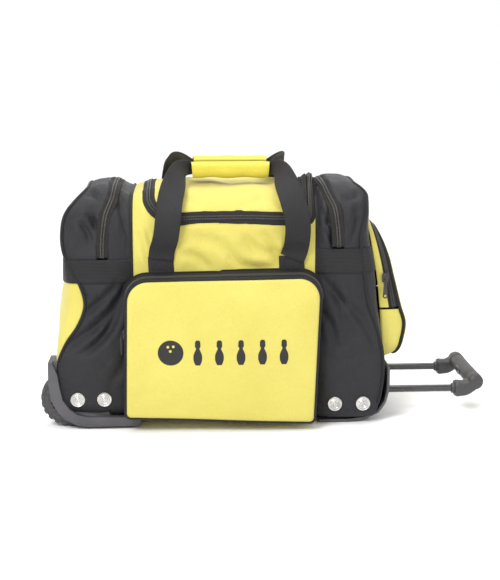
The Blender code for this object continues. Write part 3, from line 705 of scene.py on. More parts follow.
@dataclass(frozen=True)
class Webbing:
    """Woven polypropylene strap: ribs along its length and a herringbone of fine cross threads."""

    colour: Colour
    rib: float = 0.0021
    roughness: float = 0.55

    def material(self, name: str) -> bpy.types.Material:
        """Ribs follow the second cloth coordinate and cross threads the first.

        Args:
            name: name of the material.

        Returns:
            The finished material.
        """
        r = Recipe(name)
        cloth = r.coordinates("UV")
        run, over = r.axis(cloth, 0), r.axis(cloth, 1)
        ribs = (over * (2 * math.pi / self.rib)).sine()
        threads = (run * (2 * math.pi / 0.0016) + ribs * 1.6).sine()
        grain = r.noise(300.0, 2.0)
        height = ribs * 0.6 + threads * 0.4 + grain * 0.5
        # The colour lightens on the rib crests as a painted highlight, and with the two noise terms as
        # random tone.
        lift = r.noise(12.0, 3.0) * 0.5 + (ribs * 0.5 + 0.5) * 0.35 + grain * 0.2
        colour = r.blend(lift.ease(0.2, 1.0), self.colour, tuple(c * 1.7 + 0.006 for c in self.colour))
        return r.finish(Base_Color=colour, Roughness=grain * 0.2 + self.roughness - 0.1,
                        Normal=r.bump(height, 0.55, 0.0006), Sheen_Weight=0.03, Sheen_Roughness=0.4,
                        Specular_IOR_Level=0.22)


@dataclass(frozen=True)
class ZipTape:
    """Zip: woven tape with a toothed coil beside its edge; the coil's lighter grey, brightest on each
    tooth's crest, is a painted highlight.
    """

    colour: Colour
    # Lighter grey of the coil: a painted highlight.
    coil_highlight: Colour
    pitch: float = 0.0026

    def material(self, name: str) -> bpy.types.Material:
        """Teeth stand where the attribute 'coil' is high, spaced along the first cloth coordinate.

        Args:
            name: name of the material.

        Returns:
            The finished material.
        """
        r = Recipe(name)
        cloth = r.coordinates("UV")
        coil = Value(r, r.node("ShaderNodeAttribute", {"attribute_name": "coil"}).outputs["Fac"])
        tooth = (r.axis(cloth, 0) * (2 * math.pi / self.pitch)).sine() * 0.5 + 0.5
        ribs = (r.axis(cloth, 1) * (2 * math.pi / 0.0015)).sine() * 0.5 + 0.5
        grain = r.noise(500.0, 2.0)
        height = coil * tooth * 1.4 + (1 - coil) * ribs * 0.3 + grain * 0.3
        # Painted highlight: the colour turns to the lighter grey over the coil, most on each tooth's crest.
        shine = coil * (tooth * 0.8 + 0.2)
        colour = r.blend(shine + (grain - 0.5) * 0.2, self.colour, self.coil_highlight)
        rough = 0.72 - coil * 0.34 + (grain - 0.5) * 0.1
        return r.finish(Base_Color=colour, Roughness=rough, Normal=r.bump(height, 0.8, 0.0009),
                        Specular_IOR_Level=0.3)


@dataclass(frozen=True)
class Moulded:
    """Moulded plastic or rubber with a fine grain and paler handling marks."""

    colour: Colour
    roughness: float
    grain: float = 700.0
    depth: float = 0.25
    wear: float = 0.5

    def material(self, name: str) -> bpy.types.Material:
        """Fine and coarse noise give the grain, and a thresholded one the scuffs."""
        r = Recipe(name)
        fine, coarse = r.noise(self.grain, 3.0), r.noise(24.0, 5.0)
        streaks = r.noise(40.0, 6.0, (1.0, 1.0, 6.0)).ease(0.60, 0.78) * self.wear
        pale = tuple(min(1.0, c * 2.1 + 0.05) for c in self.colour)
        dark = tuple(c * 0.75 for c in self.colour)
        base = r.blend(coarse.ease(0.3, 0.7), dark, self.colour)
        colour = r.blend(streaks * 0.35, base, pale)
        rough = (coarse - 0.5) * 0.25 + streaks * 0.15 + self.roughness
        return r.finish(Base_Color=colour, Roughness=rough,
                        Normal=r.bump(fine + coarse * 0.4, self.depth, 0.0005))


@dataclass(frozen=True)
class BareMetal:
    """Turned or plated metal with fine brushing."""

    colour: Colour
    roughness: float
    metallic: float = 1.0
    coat: float = 0.0

    def material(self, name: str) -> bpy.types.Material:
        """Long noise gives the brushing and a soft one the tarnish."""
        r = Recipe(name)
        brush, tarnish = r.noise(260.0, 4.0, (0.15, 1.0, 1.0)), r.noise(60.0, 4.0)
        dull = tuple(c * 0.72 for c in self.colour)
        colour = r.blend(tarnish.ease(0.35, 0.75), self.colour, dull)
        rough = (brush - 0.5) * 0.2 + (tarnish - 0.5) * 0.15 + self.roughness
        return r.finish(Base_Color=colour, Roughness=rough, Metallic=self.metallic, Coat_Weight=self.coat,
                        Coat_Roughness=0.12, Normal=r.bump(brush, 0.12, 0.0003))


@dataclass(frozen=True)
class Foam:
    """Open-cell foam or pressed board, by the size of its pores."""

    colour: Colour
    pores: float

    def material(self, name: str) -> bpy.types.Material:
        """Cells of a Voronoi pattern give the pores."""
        r = Recipe(name)
        cells = r.node("ShaderNodeTexVoronoi", None, {"Vector": r.coordinates(), "Scale": self.pores})
        pore = Value(r, cells.outputs["Distance"])
        # The colour darkens into each pore's pit as painted shade.
        colour = r.blend(pore.ease(0.1, 0.7), tuple(c * 0.6 for c in self.colour), self.colour)
        return r.finish(Base_Color=colour, Roughness=0.9 - pore * 0.1, Normal=r.bump(pore, 0.5, 0.001))


class Finish(Enum):
    """Finishes of the bag's materials, by material slot."""

    YELLOW = ("yellow_fabric", CoatedCloth((0.605, 0.535, 0.118), (0.515, 0.440, 0.074), 0.50, crumple=0.9))
    PRINTED = ("yellow_fabric", CoatedCloth((0.605, 0.535, 0.118), (0.515, 0.440, 0.074), 0.50, crumple=0.9,
                                            ink=(0.010, 0.009, 0.009)))
    WRAP = ("yellow_fabric", CoatedCloth((0.660, 0.565, 0.062), (0.560, 0.465, 0.040), 0.50, crumple=0.9))
    BLACK = ("black_fabric", CoatedCloth((0.018, 0.018, 0.022), (0.010, 0.010, 0.012), 0.48, sheen=0.05,
                                         crumple=1.1, shine=0.28))
    LINING = ("black_fabric", CoatedCloth((0.10, 0.10, 0.11), (0.07, 0.07, 0.08), 0.7, sheen=0.1))
    WEBBING = ("webbing", Webbing((0.012, 0.011, 0.012)))
    PIPING = ("black_fabric", Webbing((0.010, 0.010, 0.011), 0.0012, 0.5))
    ZIP = ("zip_black", ZipTape((0.013, 0.012, 0.011), (0.075, 0.072, 0.068)))
    SLIDER = ("zip_black", BareMetal((0.045, 0.043, 0.044), 0.38, 0.55, 0.3))
    HOUSING = ("housing_plastic", Moulded((0.070, 0.067, 0.074), 0.46))
    RUBBER = ("tyre_rubber", Moulded((0.060, 0.058, 0.061), 0.72, 380.0, 0.45, 0.8))
    RIVET = ("rivet_steel", BareMetal((0.62, 0.61, 0.60), 0.34))
    ENAMEL = ("tube_enamel", BareMetal((0.030, 0.030, 0.033), 0.26, 0.35, 0.6))
    GRIP = ("grip_plastic", Moulded((0.046, 0.044, 0.046), 0.50))
    FOAM = ("foam", Foam((0.16, 0.16, 0.17), 700.0))
    BOARD = ("board", Foam((0.06, 0.058, 0.055), 300.0))
    AXLE = ("axle_steel", BareMetal((0.55, 0.55, 0.57), 0.32))
    STITCH = ("webbing", Moulded((0.030, 0.029, 0.031), 0.6, 900.0, 0.3, 0.2))

    @property
    def slot(self) -> str:
        """Material slot in the record."""
        return self.value[0]

    def dress(self, piece: bpy.types.Object) -> None:
        """Gives a piece this finish as a material of its own."""
        if self not in _made:
            _made[self] = self.value[1].material(self.name.lower())
        piece.data.materials.clear()
        piece.data.materials.append(_made[self])


_made: dict[Finish, bpy.types.Material] = {}


# ---- maker ---------------------------------------------------------------------------------------
class Maker:
    """Turns patches into pieces that ride on the frame."""

    def __init__(self) -> None:
        """Starts an empty list of pieces."""
        self.pieces: list[bpy.types.Object] = []

    def piece(self, name: str, patch: Patch, finish: Finish, body: str = "bag", wall: float = 0.0,
              stands_for: Sequence[str] = (), smooth: bool = True, sharp: float = 50.0,
              coil: Array | None = None) -> bpy.types.Object:
        """Makes one piece.

        Args:
            name: piece name.
            patch: its mesh in bag coordinates.
            finish: its finish.
            body: body that it rides on, or an empty string to leave it on no body.
            wall: cloth thickness added inwards.
            stands_for: CAD nodes that it replaces.
            smooth: shades the faces smooth.
            sharp: angle in degrees past which an edge stays sharp.
            coil: how much of the zip's coil shows at each point.

        Returns:
            The new object.
        """
        mesh = bpy.data.meshes.new(name)
        mesh.from_pydata((patch.points + SHIFT).tolist(), [], patch.faces)
        layer = mesh.uv_layers.new(name="cloth")
        corners = np.zeros(len(mesh.loops), np.int32)
        mesh.loops.foreach_get("vertex_index", corners)
        layer.data.foreach_set("uv", patch.uv[corners].astype(np.float32).ravel())
        if coil is not None:
            share = mesh.attributes.new("coil", "FLOAT", "POINT")
            share.data.foreach_set("value", coil.astype(np.float32))
        mesh.validate()
        made = bpy.data.objects.new(name, mesh)
        bpy.context.scene.collection.objects.link(made)
        if smooth:
            mesh.shade_smooth()
            mesh.set_sharp_from_angle(angle=math.radians(sharp))
        finish.dress(made)
        if wall:
            skin = made.modifiers.new("wall", "SOLIDIFY")
            skin.thickness = wall
            skin.offset = -1.0
            skin.use_even_offset = False
        if body:
            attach(made, body)
        if stands_for:
            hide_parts(*stands_for)
        self.pieces.append(made)
        log.info("%s: %d faces, %s", name, len(mesh.polygons), finish.name.lower())
        return made

    def blended(self, name: str, patch: Patch, finish: Finish, bodies: tuple[str, str],
                start: Sequence[float],
                end: Sequence[float], **more: object) -> bpy.types.Object:
        """Makes a piece on no body, with its transform baked into its mesh."""
        made = self.piece(name, patch, finish, "", **more)
        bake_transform(made)
        return made


make = Maker()


def piping(path: Array, radius: float = 0.0026) -> Patch:
    """Round cord of piping along a path, with a side that keeps clear of the path's own direction."""
    side = unit(path - path.mean(0) + np.array([0.0, 1e-4, 2e-4]))
    return sweep(circle(radius, 10), path, side)


# ---- fabric body ---------------------------------------------------------------------------------
ROUND_TOP, ROUND_LOW = 0.056, 0.018
GIRTH = (0.0, 0.070, 0.161, 0.421, 0.446, 0.555)     # distance from the top's middle round the section
PARTS = (5.0, 4.0, 3.0, 2.0, 1.0, 0.0)


def girth_steps(flat: int = 18, arc: int = 16, side: int = 84, low: int = 5, under: int = 10) -> Array:
    """Distances round the whole section from the underside's middle over the top and back."""
    counts = (flat, arc, side, low, under)
    half = np.concatenate([np.linspace(a, b, n, endpoint=False) for a, b,
                           n in zip(GIRTH, GIRTH[1:], counts)])
    half = np.append(half, GIRTH[-1])
    return np.concatenate([-half[::-1], half[1:]])


def around(girth: Array, half: Array, low: Array, top: Array) -> tuple[Array, Array]:
    """Rounded section of the bag.

    From the top's middle the line runs flat, turns down through a quarter circle, falls straight,
    turns under through a small quarter circle and runs flat to the underside's middle.

    Args:
        girth: signed distance from the top's middle, negative at the front.
        half: half depth.
        low: height of the underside.
        top: height of the top.

    Returns:
        y and z.
    """
    part = np.interp(np.abs(girth), GIRTH, PARTS)
    half, low, top = (np.broadcast_to(a, part.shape) for a in (half, low, top))
    turn_top = np.clip(part - 3, 0, 1) * math.pi / 2
    turn_low = np.clip(part - 1, 0, 1) * math.pi / 2
    inner, lower = half - ROUND_TOP, half - ROUND_LOW
    y = np.select(
        [part <= 1, part <= 2, part <= 3, part <= 4],
        [part * lower, lower + ROUND_LOW * np.sin(turn_low), half, inner + ROUND_TOP * np.cos(turn_top)],
        inner * (5 - part),
    )
    straight = low + ROUND_LOW + (top - ROUND_TOP - low - ROUND_LOW) * (part - 2)
    crown = 0.0025 * (1 - (y / np.maximum(inner, 1e-6)) ** 2)
    z = np.select(
        [part <= 1, part <= 2, part <= 3, part <= 4],
        [low, low + ROUND_LOW * (1 - np.cos(turn_low)), straight, top - ROUND_TOP * (1 - np.sin(turn_top))],
        top + crown,
    )
    return np.sign(girth) * y, z


def underside(x: Array) -> Array:
    """Height of the underside, which slopes down from the wheels to the corner plate."""
    return 0.020 - 0.014 * (x + 0.25) / 0.5


@dataclass
class Centre:
    """Yellow middle of the bag with its lid and its U-shaped zip."""

    left: float = -0.133
    right: float = 0.144
    depth: Course = Course(((-0.133, 0.1215), (-0.118, 0.1250), (-0.06, 0.1262), (0.07, 0.1262),
                            (0.128, 0.1250), (0.144, 0.1215)))
    height: Course = Course(((-0.133, 0.349), (-0.115, 0.3555), (-0.06, 0.3590), (0.07, 0.3590),
                             (0.125, 0.3550), (0.144, 0.348)))
    zip_low: tuple[float, float] = (-0.107, -0.1445)
    zip_high: tuple[float, float] = (0.1335, 0.1025)
    zip_round: float = 0.040
    tape: float = 0.0110
    bare: float = 0.0088         # half of the tape that shows between the panels
    lid_seam: float = 0.138      # distance round the section where the lid is sewn to the rear
    bend: tuple[Sequence[float], Sequence[float]] = ((0.013, 0.116, 0.332), (0.013, 0.082, 0.358))
    creases: tuple[Crease, ...] = (
        Crease(0.095, 0.262, 0.030, 0.292, 0.011, 0.0034), Crease(0.088, 0.246, 0.008, 0.262, 0.010, 0.0030),
        Crease(-0.055, 0.292, 0.030, 0.252, 0.012, 0.0026),
        Crease(-0.060, 0.268, -0.015, 0.240, 0.009, 0.0022),
        Crease(0.060, 0.300, 0.084, 0.238, 0.009, 0.0030), Crease(0.104, 0.290, 0.082, 0.250, 0.008, 0.0026),
        Crease(-0.128, 0.300, -0.112, 0.225, 0.006, 0.0022),
        Crease(-0.121, 0.318, -0.106, 0.262, 0.005, 0.0016),
        Crease(-0.050, 0.338, 0.075, 0.344, 0.008, 0.0022),
        Crease(0.020, 0.330, 0.095, 0.336, 0.007, 0.0020),
        Crease(0.050, 0.348, 0.110, 0.326, 0.008, 0.0022),
        Crease(-0.090, 0.345, -0.020, 0.333, 0.008, 0.0018),
    )

    def surface(self, x: Array, girth: Array) -> Array:
        """Centre surface: the rounded section at each x, its sides filled out a little at mid height."""
        half, top = self.depth(x), self.height(x)
        y, z = around(girth, half, underside(x), top)
        fill = np.exp(-((z - 0.19) / 0.11) ** 2) * 0.003 * (1 - ((x - 0.005) / 0.14) ** 2)
        sag = (0.0025 * np.sin((x + 0.02) * 34) * (np.abs(girth) < GIRTH[1]) *
               (1 - (np.abs(girth) / GIRTH[1]) ** 2))
        return np.stack([x, y + np.sign(y) * fill, z - sag], -1)

    def relief(self, points: Array, x: Array, girth: Array) -> Array:
        """Folds and swells, fading out at both seams.

        Args:
            points: places on the surface.
            x: place along the bag.
            girth: place round the section.

        Returns:
            Outward rise at each place.
        """
        rise = 0.0026 * ripple(points, 0.045, 2.0) + 0.0011 * ripple(points, 0.018, 5.0)
        for crease in self.creases:
            rise = rise - 1.5 * crease(points)
        calm = ease(x, self.left, self.left + 0.02) * (1 - ease(x, self.right - 0.02, self.right))
        low = ease(points[..., 2], 0.03, 0.08)
        rise = rise * calm * (0.25 + 0.75 * low)
        under = np.zeros_like(x)
        for foot in (-0.0865, 0.102):
            beside = 1 - ease(np.abs(x - foot), 0.022, 0.034)
            under = np.maximum(under, beside * (1 - ease(points[..., 2], 0.262,
                                                         0.276)) * ease(points[..., 2], 0.10, 0.12))
        under = np.maximum(under, (1 - ease(points[..., 2], 0.244, 0.258)) * (points[..., 1] < 0))
        return rise * (1 - under) + np.minimum(rise, 0.0) * under - 0.0003 * under

    def lattice(self) -> Lattice:
        """Grid of the surface."""
        return Lattice(np.linspace(self.left, self.right, 106), girth_steps(), self.surface, self.relief,
                       -1.0)

    def zip_path(self, offset: float = 0.0) -> tuple[Array, Array]:
        """Centre line of the zip on the surface, from the rear left over the top to the rear right.

        Args:
            offset: distance outside the line, in the cloth.

        Returns:
            x and girth along the line.
        """
        x0, x1 = self.zip_low[0] - offset, self.zip_high[0] + offset
        g0, g1 = self.zip_low[1] - offset, self.lid_seam - 0.001
        big, small = self.zip_round + offset, 0.014 + offset
        turn = np.linspace(0, math.pi / 2, 14)
        left = np.stack([np.full(50, x0), np.linspace(g1, g0 + big, 50)], 1)
        first = np.stack([x0 + big * (1 - np.cos(turn)), g0 + big * (1 - np.sin(turn))], 1)
        flat = np.stack([np.linspace(x0 + big, x1 - small, 60), np.full(60, g0)], 1)
        second = np.stack([x1 - small * (1 - np.sin(turn)), g0 + small * (1 - np.cos(turn))], 1)
        right = np.stack([np.full(50, x1), np.linspace(g0 + small, g1, 50)], 1)
        line = np.concatenate([left, first[1:], flat[1:], second[1:], right[1:]])
        return line[:, 0], line[:, 1]

    def build(self) -> None:
        """Makes the shell, the lid, both halves of the zip and the piping round the ends."""
        lattice = self.lattice()
        rounds = (self.zip_round, 0.014, 0.002, 0.002)
        opening = lambda x, g, end: rounded_box(x, g, self.zip_low, (self.zip_high[0], end), rounds)
        shell = lattice.cut(lambda p, x, g: -opening(x, g, self.lid_seam - self.bare) - self.bare)
        make.piece("centre_panels", shell, Finish.YELLOW, wall=0.0022, stands_for=("centre_shell",))
        lid = lattice.cut(lambda p, x, g: np.minimum(opening(x, g, 0.2) - self.bare, self.lid_seam - g))
        make.blended("lid_panel", lid, Finish.YELLOW, ("bag", "lid"), *self.bend,
                     wall=0.0022, stands_for=("main_lid",))
        self.build_zip(lattice)
        for name, x in (("left", self.left), ("right", self.right)):
            girth = girth_steps(10, 12, 40, 5, 8)
            path = self.surface(np.full(len(girth), x), girth)
            path[:, 1:] += unit(path[:, 1:] - np.array([0.0, 0.18])) * 0.0005
            make.piece(f"centre_piping_{name}", piping(path, 0.0025), Finish.PIPING)

    def build_zip(self, lattice: Lattice) -> None:
        """Two tapes with their coils; the right limb is gathered into a bunch over the top."""
        x, girth = self.zip_path()
        path, normal = lattice.place(x, girth), lattice.normal(x, girth)
        bunch = ease(x, 0.10, 0.13) * np.exp(-(((girth + 0.035) / 0.05) ** 2))
        path = path + normal * (0.019 * bunch - 0.0004)[:, None]
        zip_pair("main_zip", path, normal, self.tape, (("bag", "lid"), "bag"), ("", "main_zip"),
                 bunch, self.bend)


def zip_pair(name: str, path: Array, normal: Array, tape: float, bodies: tuple[str | tuple[str, str], ...],
             stands_for: tuple[str, str], bunch: Array | None = None,
             bend: tuple[Sequence[float], Sequence[float]] | None = None) -> None:
    """Zip along a path: two tapes, each with a coil at its inner edge.

    Each half's profile is a thin tape that rises into a round coil beside the centre line.

    Args:
        name: start of the pieces' names.
        path: centre line.
        normal: outward direction along it.
        tape: width of each half.
        bodies: bodies of the left and right half, seen along the path from outside; two names make a half on
            no body.
        stands_for: CAD nodes that the halves replace, or empty strings.
        bunch: 0 to 1 along the path where the tapes are gathered into ribs.
        bend: handed on to a half with two bodies; not used.
    """
    along = unit(np.gradient(path, axis=0))
    across = np.cross(normal, along)
    over = np.concatenate([[0.0], np.linspace(0.0004, 0.0031, 7), [0.0036], np.linspace(0.0042, tape, 7)])
    coil_rise = 0.0016 * np.sqrt(np.clip(1 - ((over - 0.0018) / 0.0016) ** 2, 0, 1))
    top = np.where(over < 0.0036, 0.0003 + coil_rise, 0.0003)
    share = (over < 0.0036).astype(float)
    gather = np.zeros(len(path)) if bunch is None else bunch
    for sign, body, stood in zip((1.0, -1.0), bodies, stands_for):
        ribs = 0.0026 * np.sin(over * 2 * math.pi / 0.0046)[None] * gather[:, None]
        ribs = ribs - 1.1 * gather[:, None] * over[None] ** 2 / tape
        lift = (top[None] + ribs) - 0.0016 * ease(over, 0.80 * tape, tape)[None]
        reach = over[None] * (1 + 0.35 * gather[:, None])
        points = path[:, None] + sign * reach[..., None] * across[:, None] + lift[..., None] * normal[:,
                                                                                                      None]
        faces = grid_faces(len(path), len(over))
        if sign < 0:
            faces = faces[:, ::-1]
        patch = Patch(points.reshape(-1, 3), faces[:, ::-1].tolist(), grid_uv(points).reshape(-1, 2))
        side = "inner" if sign > 0 else "outer"
        coil = np.tile(share, len(path))
        more = {"wall": 0.0007, "coil": coil, "stands_for": (stood,) if stood else ()}
        if isinstance(body, tuple):
            make.blended(f"{name}_{side}", patch, Finish.ZIP, body, *bend, **more)
        else:
            make.piece(f"{name}_{side}", patch, Finish.ZIP, body, **more)


# wheel housing's edge, where the left compartment's cloth is tucked under its rim
TUCK = ((-0.118, -0.03), (-0.118, 0.0105), (-0.148, 0.0125), (-0.203, 0.0140), (-0.2195, 0.0195),
        (-0.2325, 0.0290),
        (-0.2415, 0.0440), (-0.2460, 0.0630), (-0.2490, 0.084), (-0.2560, 0.105), (-0.31, 0.106),
        (-0.31, -0.03))


@dataclass
class EndCompartment:
    """Black compartment at one end: a saddle from the centre seam to the outer seam, and a cap."""

    side: float
    name: str
    seam: float
    outer: Course
    end: Course
    zip_line: Course
    flap_z: float
    band: tuple[float, float]
    cap_finish: Finish
    cap_low: float
    depth: Course
    height: Course
    creases: tuple[Crease, ...]
    tape: float = 0.0105
    slump: float = 0.010
    swell: float = 1.0

    def surface(self, share: Array, girth: Array) -> Array:
        """Saddle surface: share 0 is the centre seam and 1 the outer seam, which wanders with height."""
        low = underside(self.seam + share * (self.side * 0.245 - self.seam))
        y, z = around(girth, self.depth(share), low, self.height(share))
        x = self.seam + share * (self.outer(z) - self.seam)
        return np.stack([x, y, z - self.sink(y, z) * ease(share, 0.0, 0.3)], -1)

    def sink(self, y: Array, z: Array) -> Array:
        """How far the unfilled compartment slumps: most at its rear top and nothing below the band."""
        return self.slump * ease(y, -0.04, 0.11) * ease(z, 0.20, 0.36)

    def relief(self, points: Array, share: Array, girth: Array) -> Array:
        """Folds and swells, calm at both seams and under the band."""
        rise = 0.0030 * ripple(points, 0.040, 1.0 + self.side) + 0.0013 * ripple(points, 0.015,
                                                                                 4.0 - self.side)
        for crease in self.creases:
            rise = rise - 1.5 * crease(points)
        calm = ease(share, 0.0, 0.15) * (1 - ease(share, 0.86, 1.0))
        held = np.exp(-(((points[..., 2] - sum(self.band) / 2) / 0.022) ** 4))
        low = ease(points[..., 2], 0.03, 0.10)
        rise = self.swell * rise * calm * (1 - 0.75 * held) * (0.2 + 0.8 * low)
        cheek = ease(-points[..., 0], 0.165, 0.185) * (1 - ease(points[..., 2], 0.108, 0.128))
        return rise * (1 - cheek) + np.maximum(rise, 0.0012) * cheek

    def lattice(self) -> Lattice:
        """Grid of the saddle."""
        return Lattice(np.linspace(0.0, 1.0, 52), girth_steps(), self.surface, self.relief, self.side * -1.0)

    def cap_surface(self, turn: Array, height: Array) -> Array:
        """Cap surface: at each height an outline that leaves the front seam, rounds the corner to
        the end and comes back to the rear seam, as a superellipse over the width.

        Args:
            turn: angle round the cap, from the front seam to the rear one.
            height: height of each place.

        Returns:
            Places on the cap.
        """
        top = float(self.height(1.0))
        z = height
        half = float(self.depth(1.0))
        drop = np.clip((z - (top - ROUND_TOP)) / ROUND_TOP, 0, 1)
        width = half - ROUND_TOP * (1 - np.sqrt(np.clip(1 - drop**2, 0, 1)))
        rise = np.clip((underside(self.side * 0.245) + ROUND_LOW - z) / ROUND_LOW, 0, 1)
        width = width - ROUND_LOW * (1 - np.sqrt(np.clip(1 - rise**2, 0, 1)))
        power = 2.0 / 3.2
        y = width * np.sign(np.sin(turn)) * np.abs(np.sin(turn)) ** power
        out = np.abs(np.cos(turn)) ** power
        near, far = self.outer(z), self.end(z)
        return np.stack([near + (far - near) * out, y, z - self.sink(y, z)], -1)

    def cap_relief(self, points: Array, turn: Array, height: Array) -> Array:
        """Soft swells of the end."""
        calm = 1 - ease(points[..., 2], 0.26, 0.32)
        return 0.0030 * ripple(points, 0.05, 3.0 + self.side) * np.cos(turn) ** 0.5 * calm

    def cap_lattice(self) -> Lattice:
        """Grid of the cap; its top row closes on the seam."""
        low = float(underside(np.array(self.side * 0.245)))
        heights = np.linspace(low, float(self.height(1.0)), 96)
        edge = math.pi / 2 - 0.002
        ends = np.linspace(0, 1, 61)
        turn = (ease(ends, 0, 1) * 0.55 + ends * 0.45) * 2 * edge - edge
        return Lattice(turn, heights, self.cap_surface, self.cap_relief, -self.side)

    def zip_x(self, points: Array) -> Array:
        """Distance outward of the zip's centre line."""
        return self.side * (points[..., 0] - self.zip_line(points[..., 2]))

    def tucked(self, points: Array) -> Array:
        """Distance outside the wheel housing's cut-out; only the left compartment has one."""
        if self.side > 0:
            return np.full(points.shape[:-1], 1.0)
        away = polygon_distance(points[..., 0], points[..., 2], TUCK)
        return np.maximum(away, 0.0845 - np.abs(points[..., 1]))

    def build(self) -> None:
        """Makes the panels, flap, zip, band and piping.

        The flap's cloth and the cloth below it are one panel.
        """
        n, bare, split = self.name, 0.0080, sum(self.band) / 2
        saddle, cap = self.lattice(), self.cap_lattice()
        hinge = ("bag", f"flap_{n}")
        start, end = (0.0, 0.0, self.flap_z - 0.002), (0.0, 0.0, self.flap_z + 0.026)
        low = saddle.cut(lambda p, s, g: np.minimum(split - p[..., 2], self.tucked(p)))
        make.piece(f"{n}_saddle_low", low, Finish.BLACK, wall=0.0022, stands_for=(f"end_shell_{n}",))
        near = saddle.cut(lambda p, s, g: np.minimum(p[..., 2] - split, -self.zip_x(p) - bare))
        make.piece(f"{n}_saddle_inner", near, Finish.BLACK, wall=0.0022)
        far = saddle.cut(lambda p, s, g: np.minimum(p[..., 2] - split, self.zip_x(p) - bare))
        make.blended(f"{n}_saddle_outer", far, Finish.BLACK, hinge, start, end, wall=0.0022,
                     stands_for=(f"{n}_flap",))
        if self.side < 0:
            under = cap.cut(lambda p, t, h: np.minimum(self.cap_low - p[..., 2], self.tucked(p)))
            make.piece(f"{n}_cap_low", under, Finish.BLACK, wall=0.0022)
            upper = cap.cut(lambda p, t, h: np.minimum(p[..., 2] - self.cap_low, self.tucked(p)))
        else:
            upper = cap.cut()
        stood = ("end_panel_left",) if self.side < 0 else ()
        make.blended(f"{n}_cap", upper, self.cap_finish, hinge, start, end, wall=0.0022, stands_for=stood)
        self.build_band(saddle, cap)
        self.build_piping()
        self.build_zip(saddle)
        self.build_inside()

    def build_inside(self) -> None:
        """Divider between this compartment and the middle, ending a little above its floor."""
        girth = girth_steps(8, 8, 20, 4, 6)
        y, z = around(girth, self.depth(0.0), DIVIDER_FOOT, self.height(0.0))
        section = np.stack([np.full(len(girth), self.seam), y, z], -1)
        middle = np.array([self.seam, 0.0, 0.19])
        share = np.linspace(0.975, 0.01, 14)[:, None, None]
        points = middle + (section - middle)[None] * share
        points[..., 0] += 0.002 * self.side + 0.0025 * ripple(points, 0.06, 9.0)
        rows, columns = points.shape[:2]
        faces = grid_faces(rows, columns)
        patch = Patch(points.reshape(-1, 3), faces.tolist(), points[..., 1:].reshape(-1, 2))
        make.piece(f"{self.name}_divider", patch if self.side < 0 else patch.flipped(), Finish.LINING,
                   wall=0.0012)

    def build_band(self, saddle: Lattice, cap: Lattice) -> None:
        """Webbing band sewn round the compartment, in one length from seam to seam."""
        low, high = self.band
        inside = lambda p, a, b: np.minimum(p[..., 2] - low, high - p[..., 2])
        strip = saddle.cut(inside, 0.0016).joined(cap.cut(inside, 0.0016))
        strip.uv = np.stack([np.abs(strip.points[:, 0]) + np.abs(strip.points[:, 1]), strip.points[:, 2]], 1)
        make.piece(f"{self.name}_band", strip, Finish.WEBBING, wall=0.0014,
                   stands_for=(f"band_{self.name}",))

    def build_piping(self) -> None:
        """Piping along the outer seam."""
        girth = np.concatenate([np.linspace(-GIRTH[4], -GIRTH[2], 90),
                                np.linspace(-GIRTH[2], GIRTH[2], 120)[1:],
                                np.linspace(GIRTH[2], GIRTH[4], 90)[1:]])
        line = self.surface(np.ones(len(girth)), girth)
        z = line[:, 2]
        start = 0.103 if self.side < 0 else 0.030
        cord = piping(line[z > start])
        make.blended(f"{self.name}_piping", cord, Finish.PIPING, ("bag", f"flap_{self.name}"),
                     (0.0, 0.0, self.flap_z - 0.002), (0.0, 0.0, self.flap_z + 0.026))

    def build_zip(self, saddle: Lattice) -> None:
        """Zip over the top, from the band at the front to the band at the rear.

        Args:
            saddle: grid that the zip lies on.
        """
        girth = np.linspace(-GIRTH[3], GIRTH[3], 900)
        share = np.full(len(girth), 0.4)
        for _ in range(12):
            points = self.surface(share, girth)
            wide = self.outer(points[..., 2]) - self.seam
            share = share - (points[..., 0] - self.zip_line(points[..., 2])) / wide
        height = self.surface(share, girth)[..., 2]
        keep = height > self.band[1] + 0.002
        share, girth = share[keep][::3], girth[keep][::3]
        path, normal = saddle.place(share, girth), saddle.normal(share, girth)
        path = path - normal * 0.0003
        flap, fixed = ("bag", f"flap_{self.name}"), "bag"
        bodies = (fixed, flap) if self.side > 0 else (flap, fixed)
        bend = ((0.0, 0.0, self.flap_z - 0.002), (0.0, 0.0, self.flap_z + 0.026))
        zip_pair(f"{self.name}_zip", path, normal, self.tape, bodies,
                 (f"{self.name}_zip", "") if self.side > 0 else ("", f"{self.name}_zip"), bend=bend)


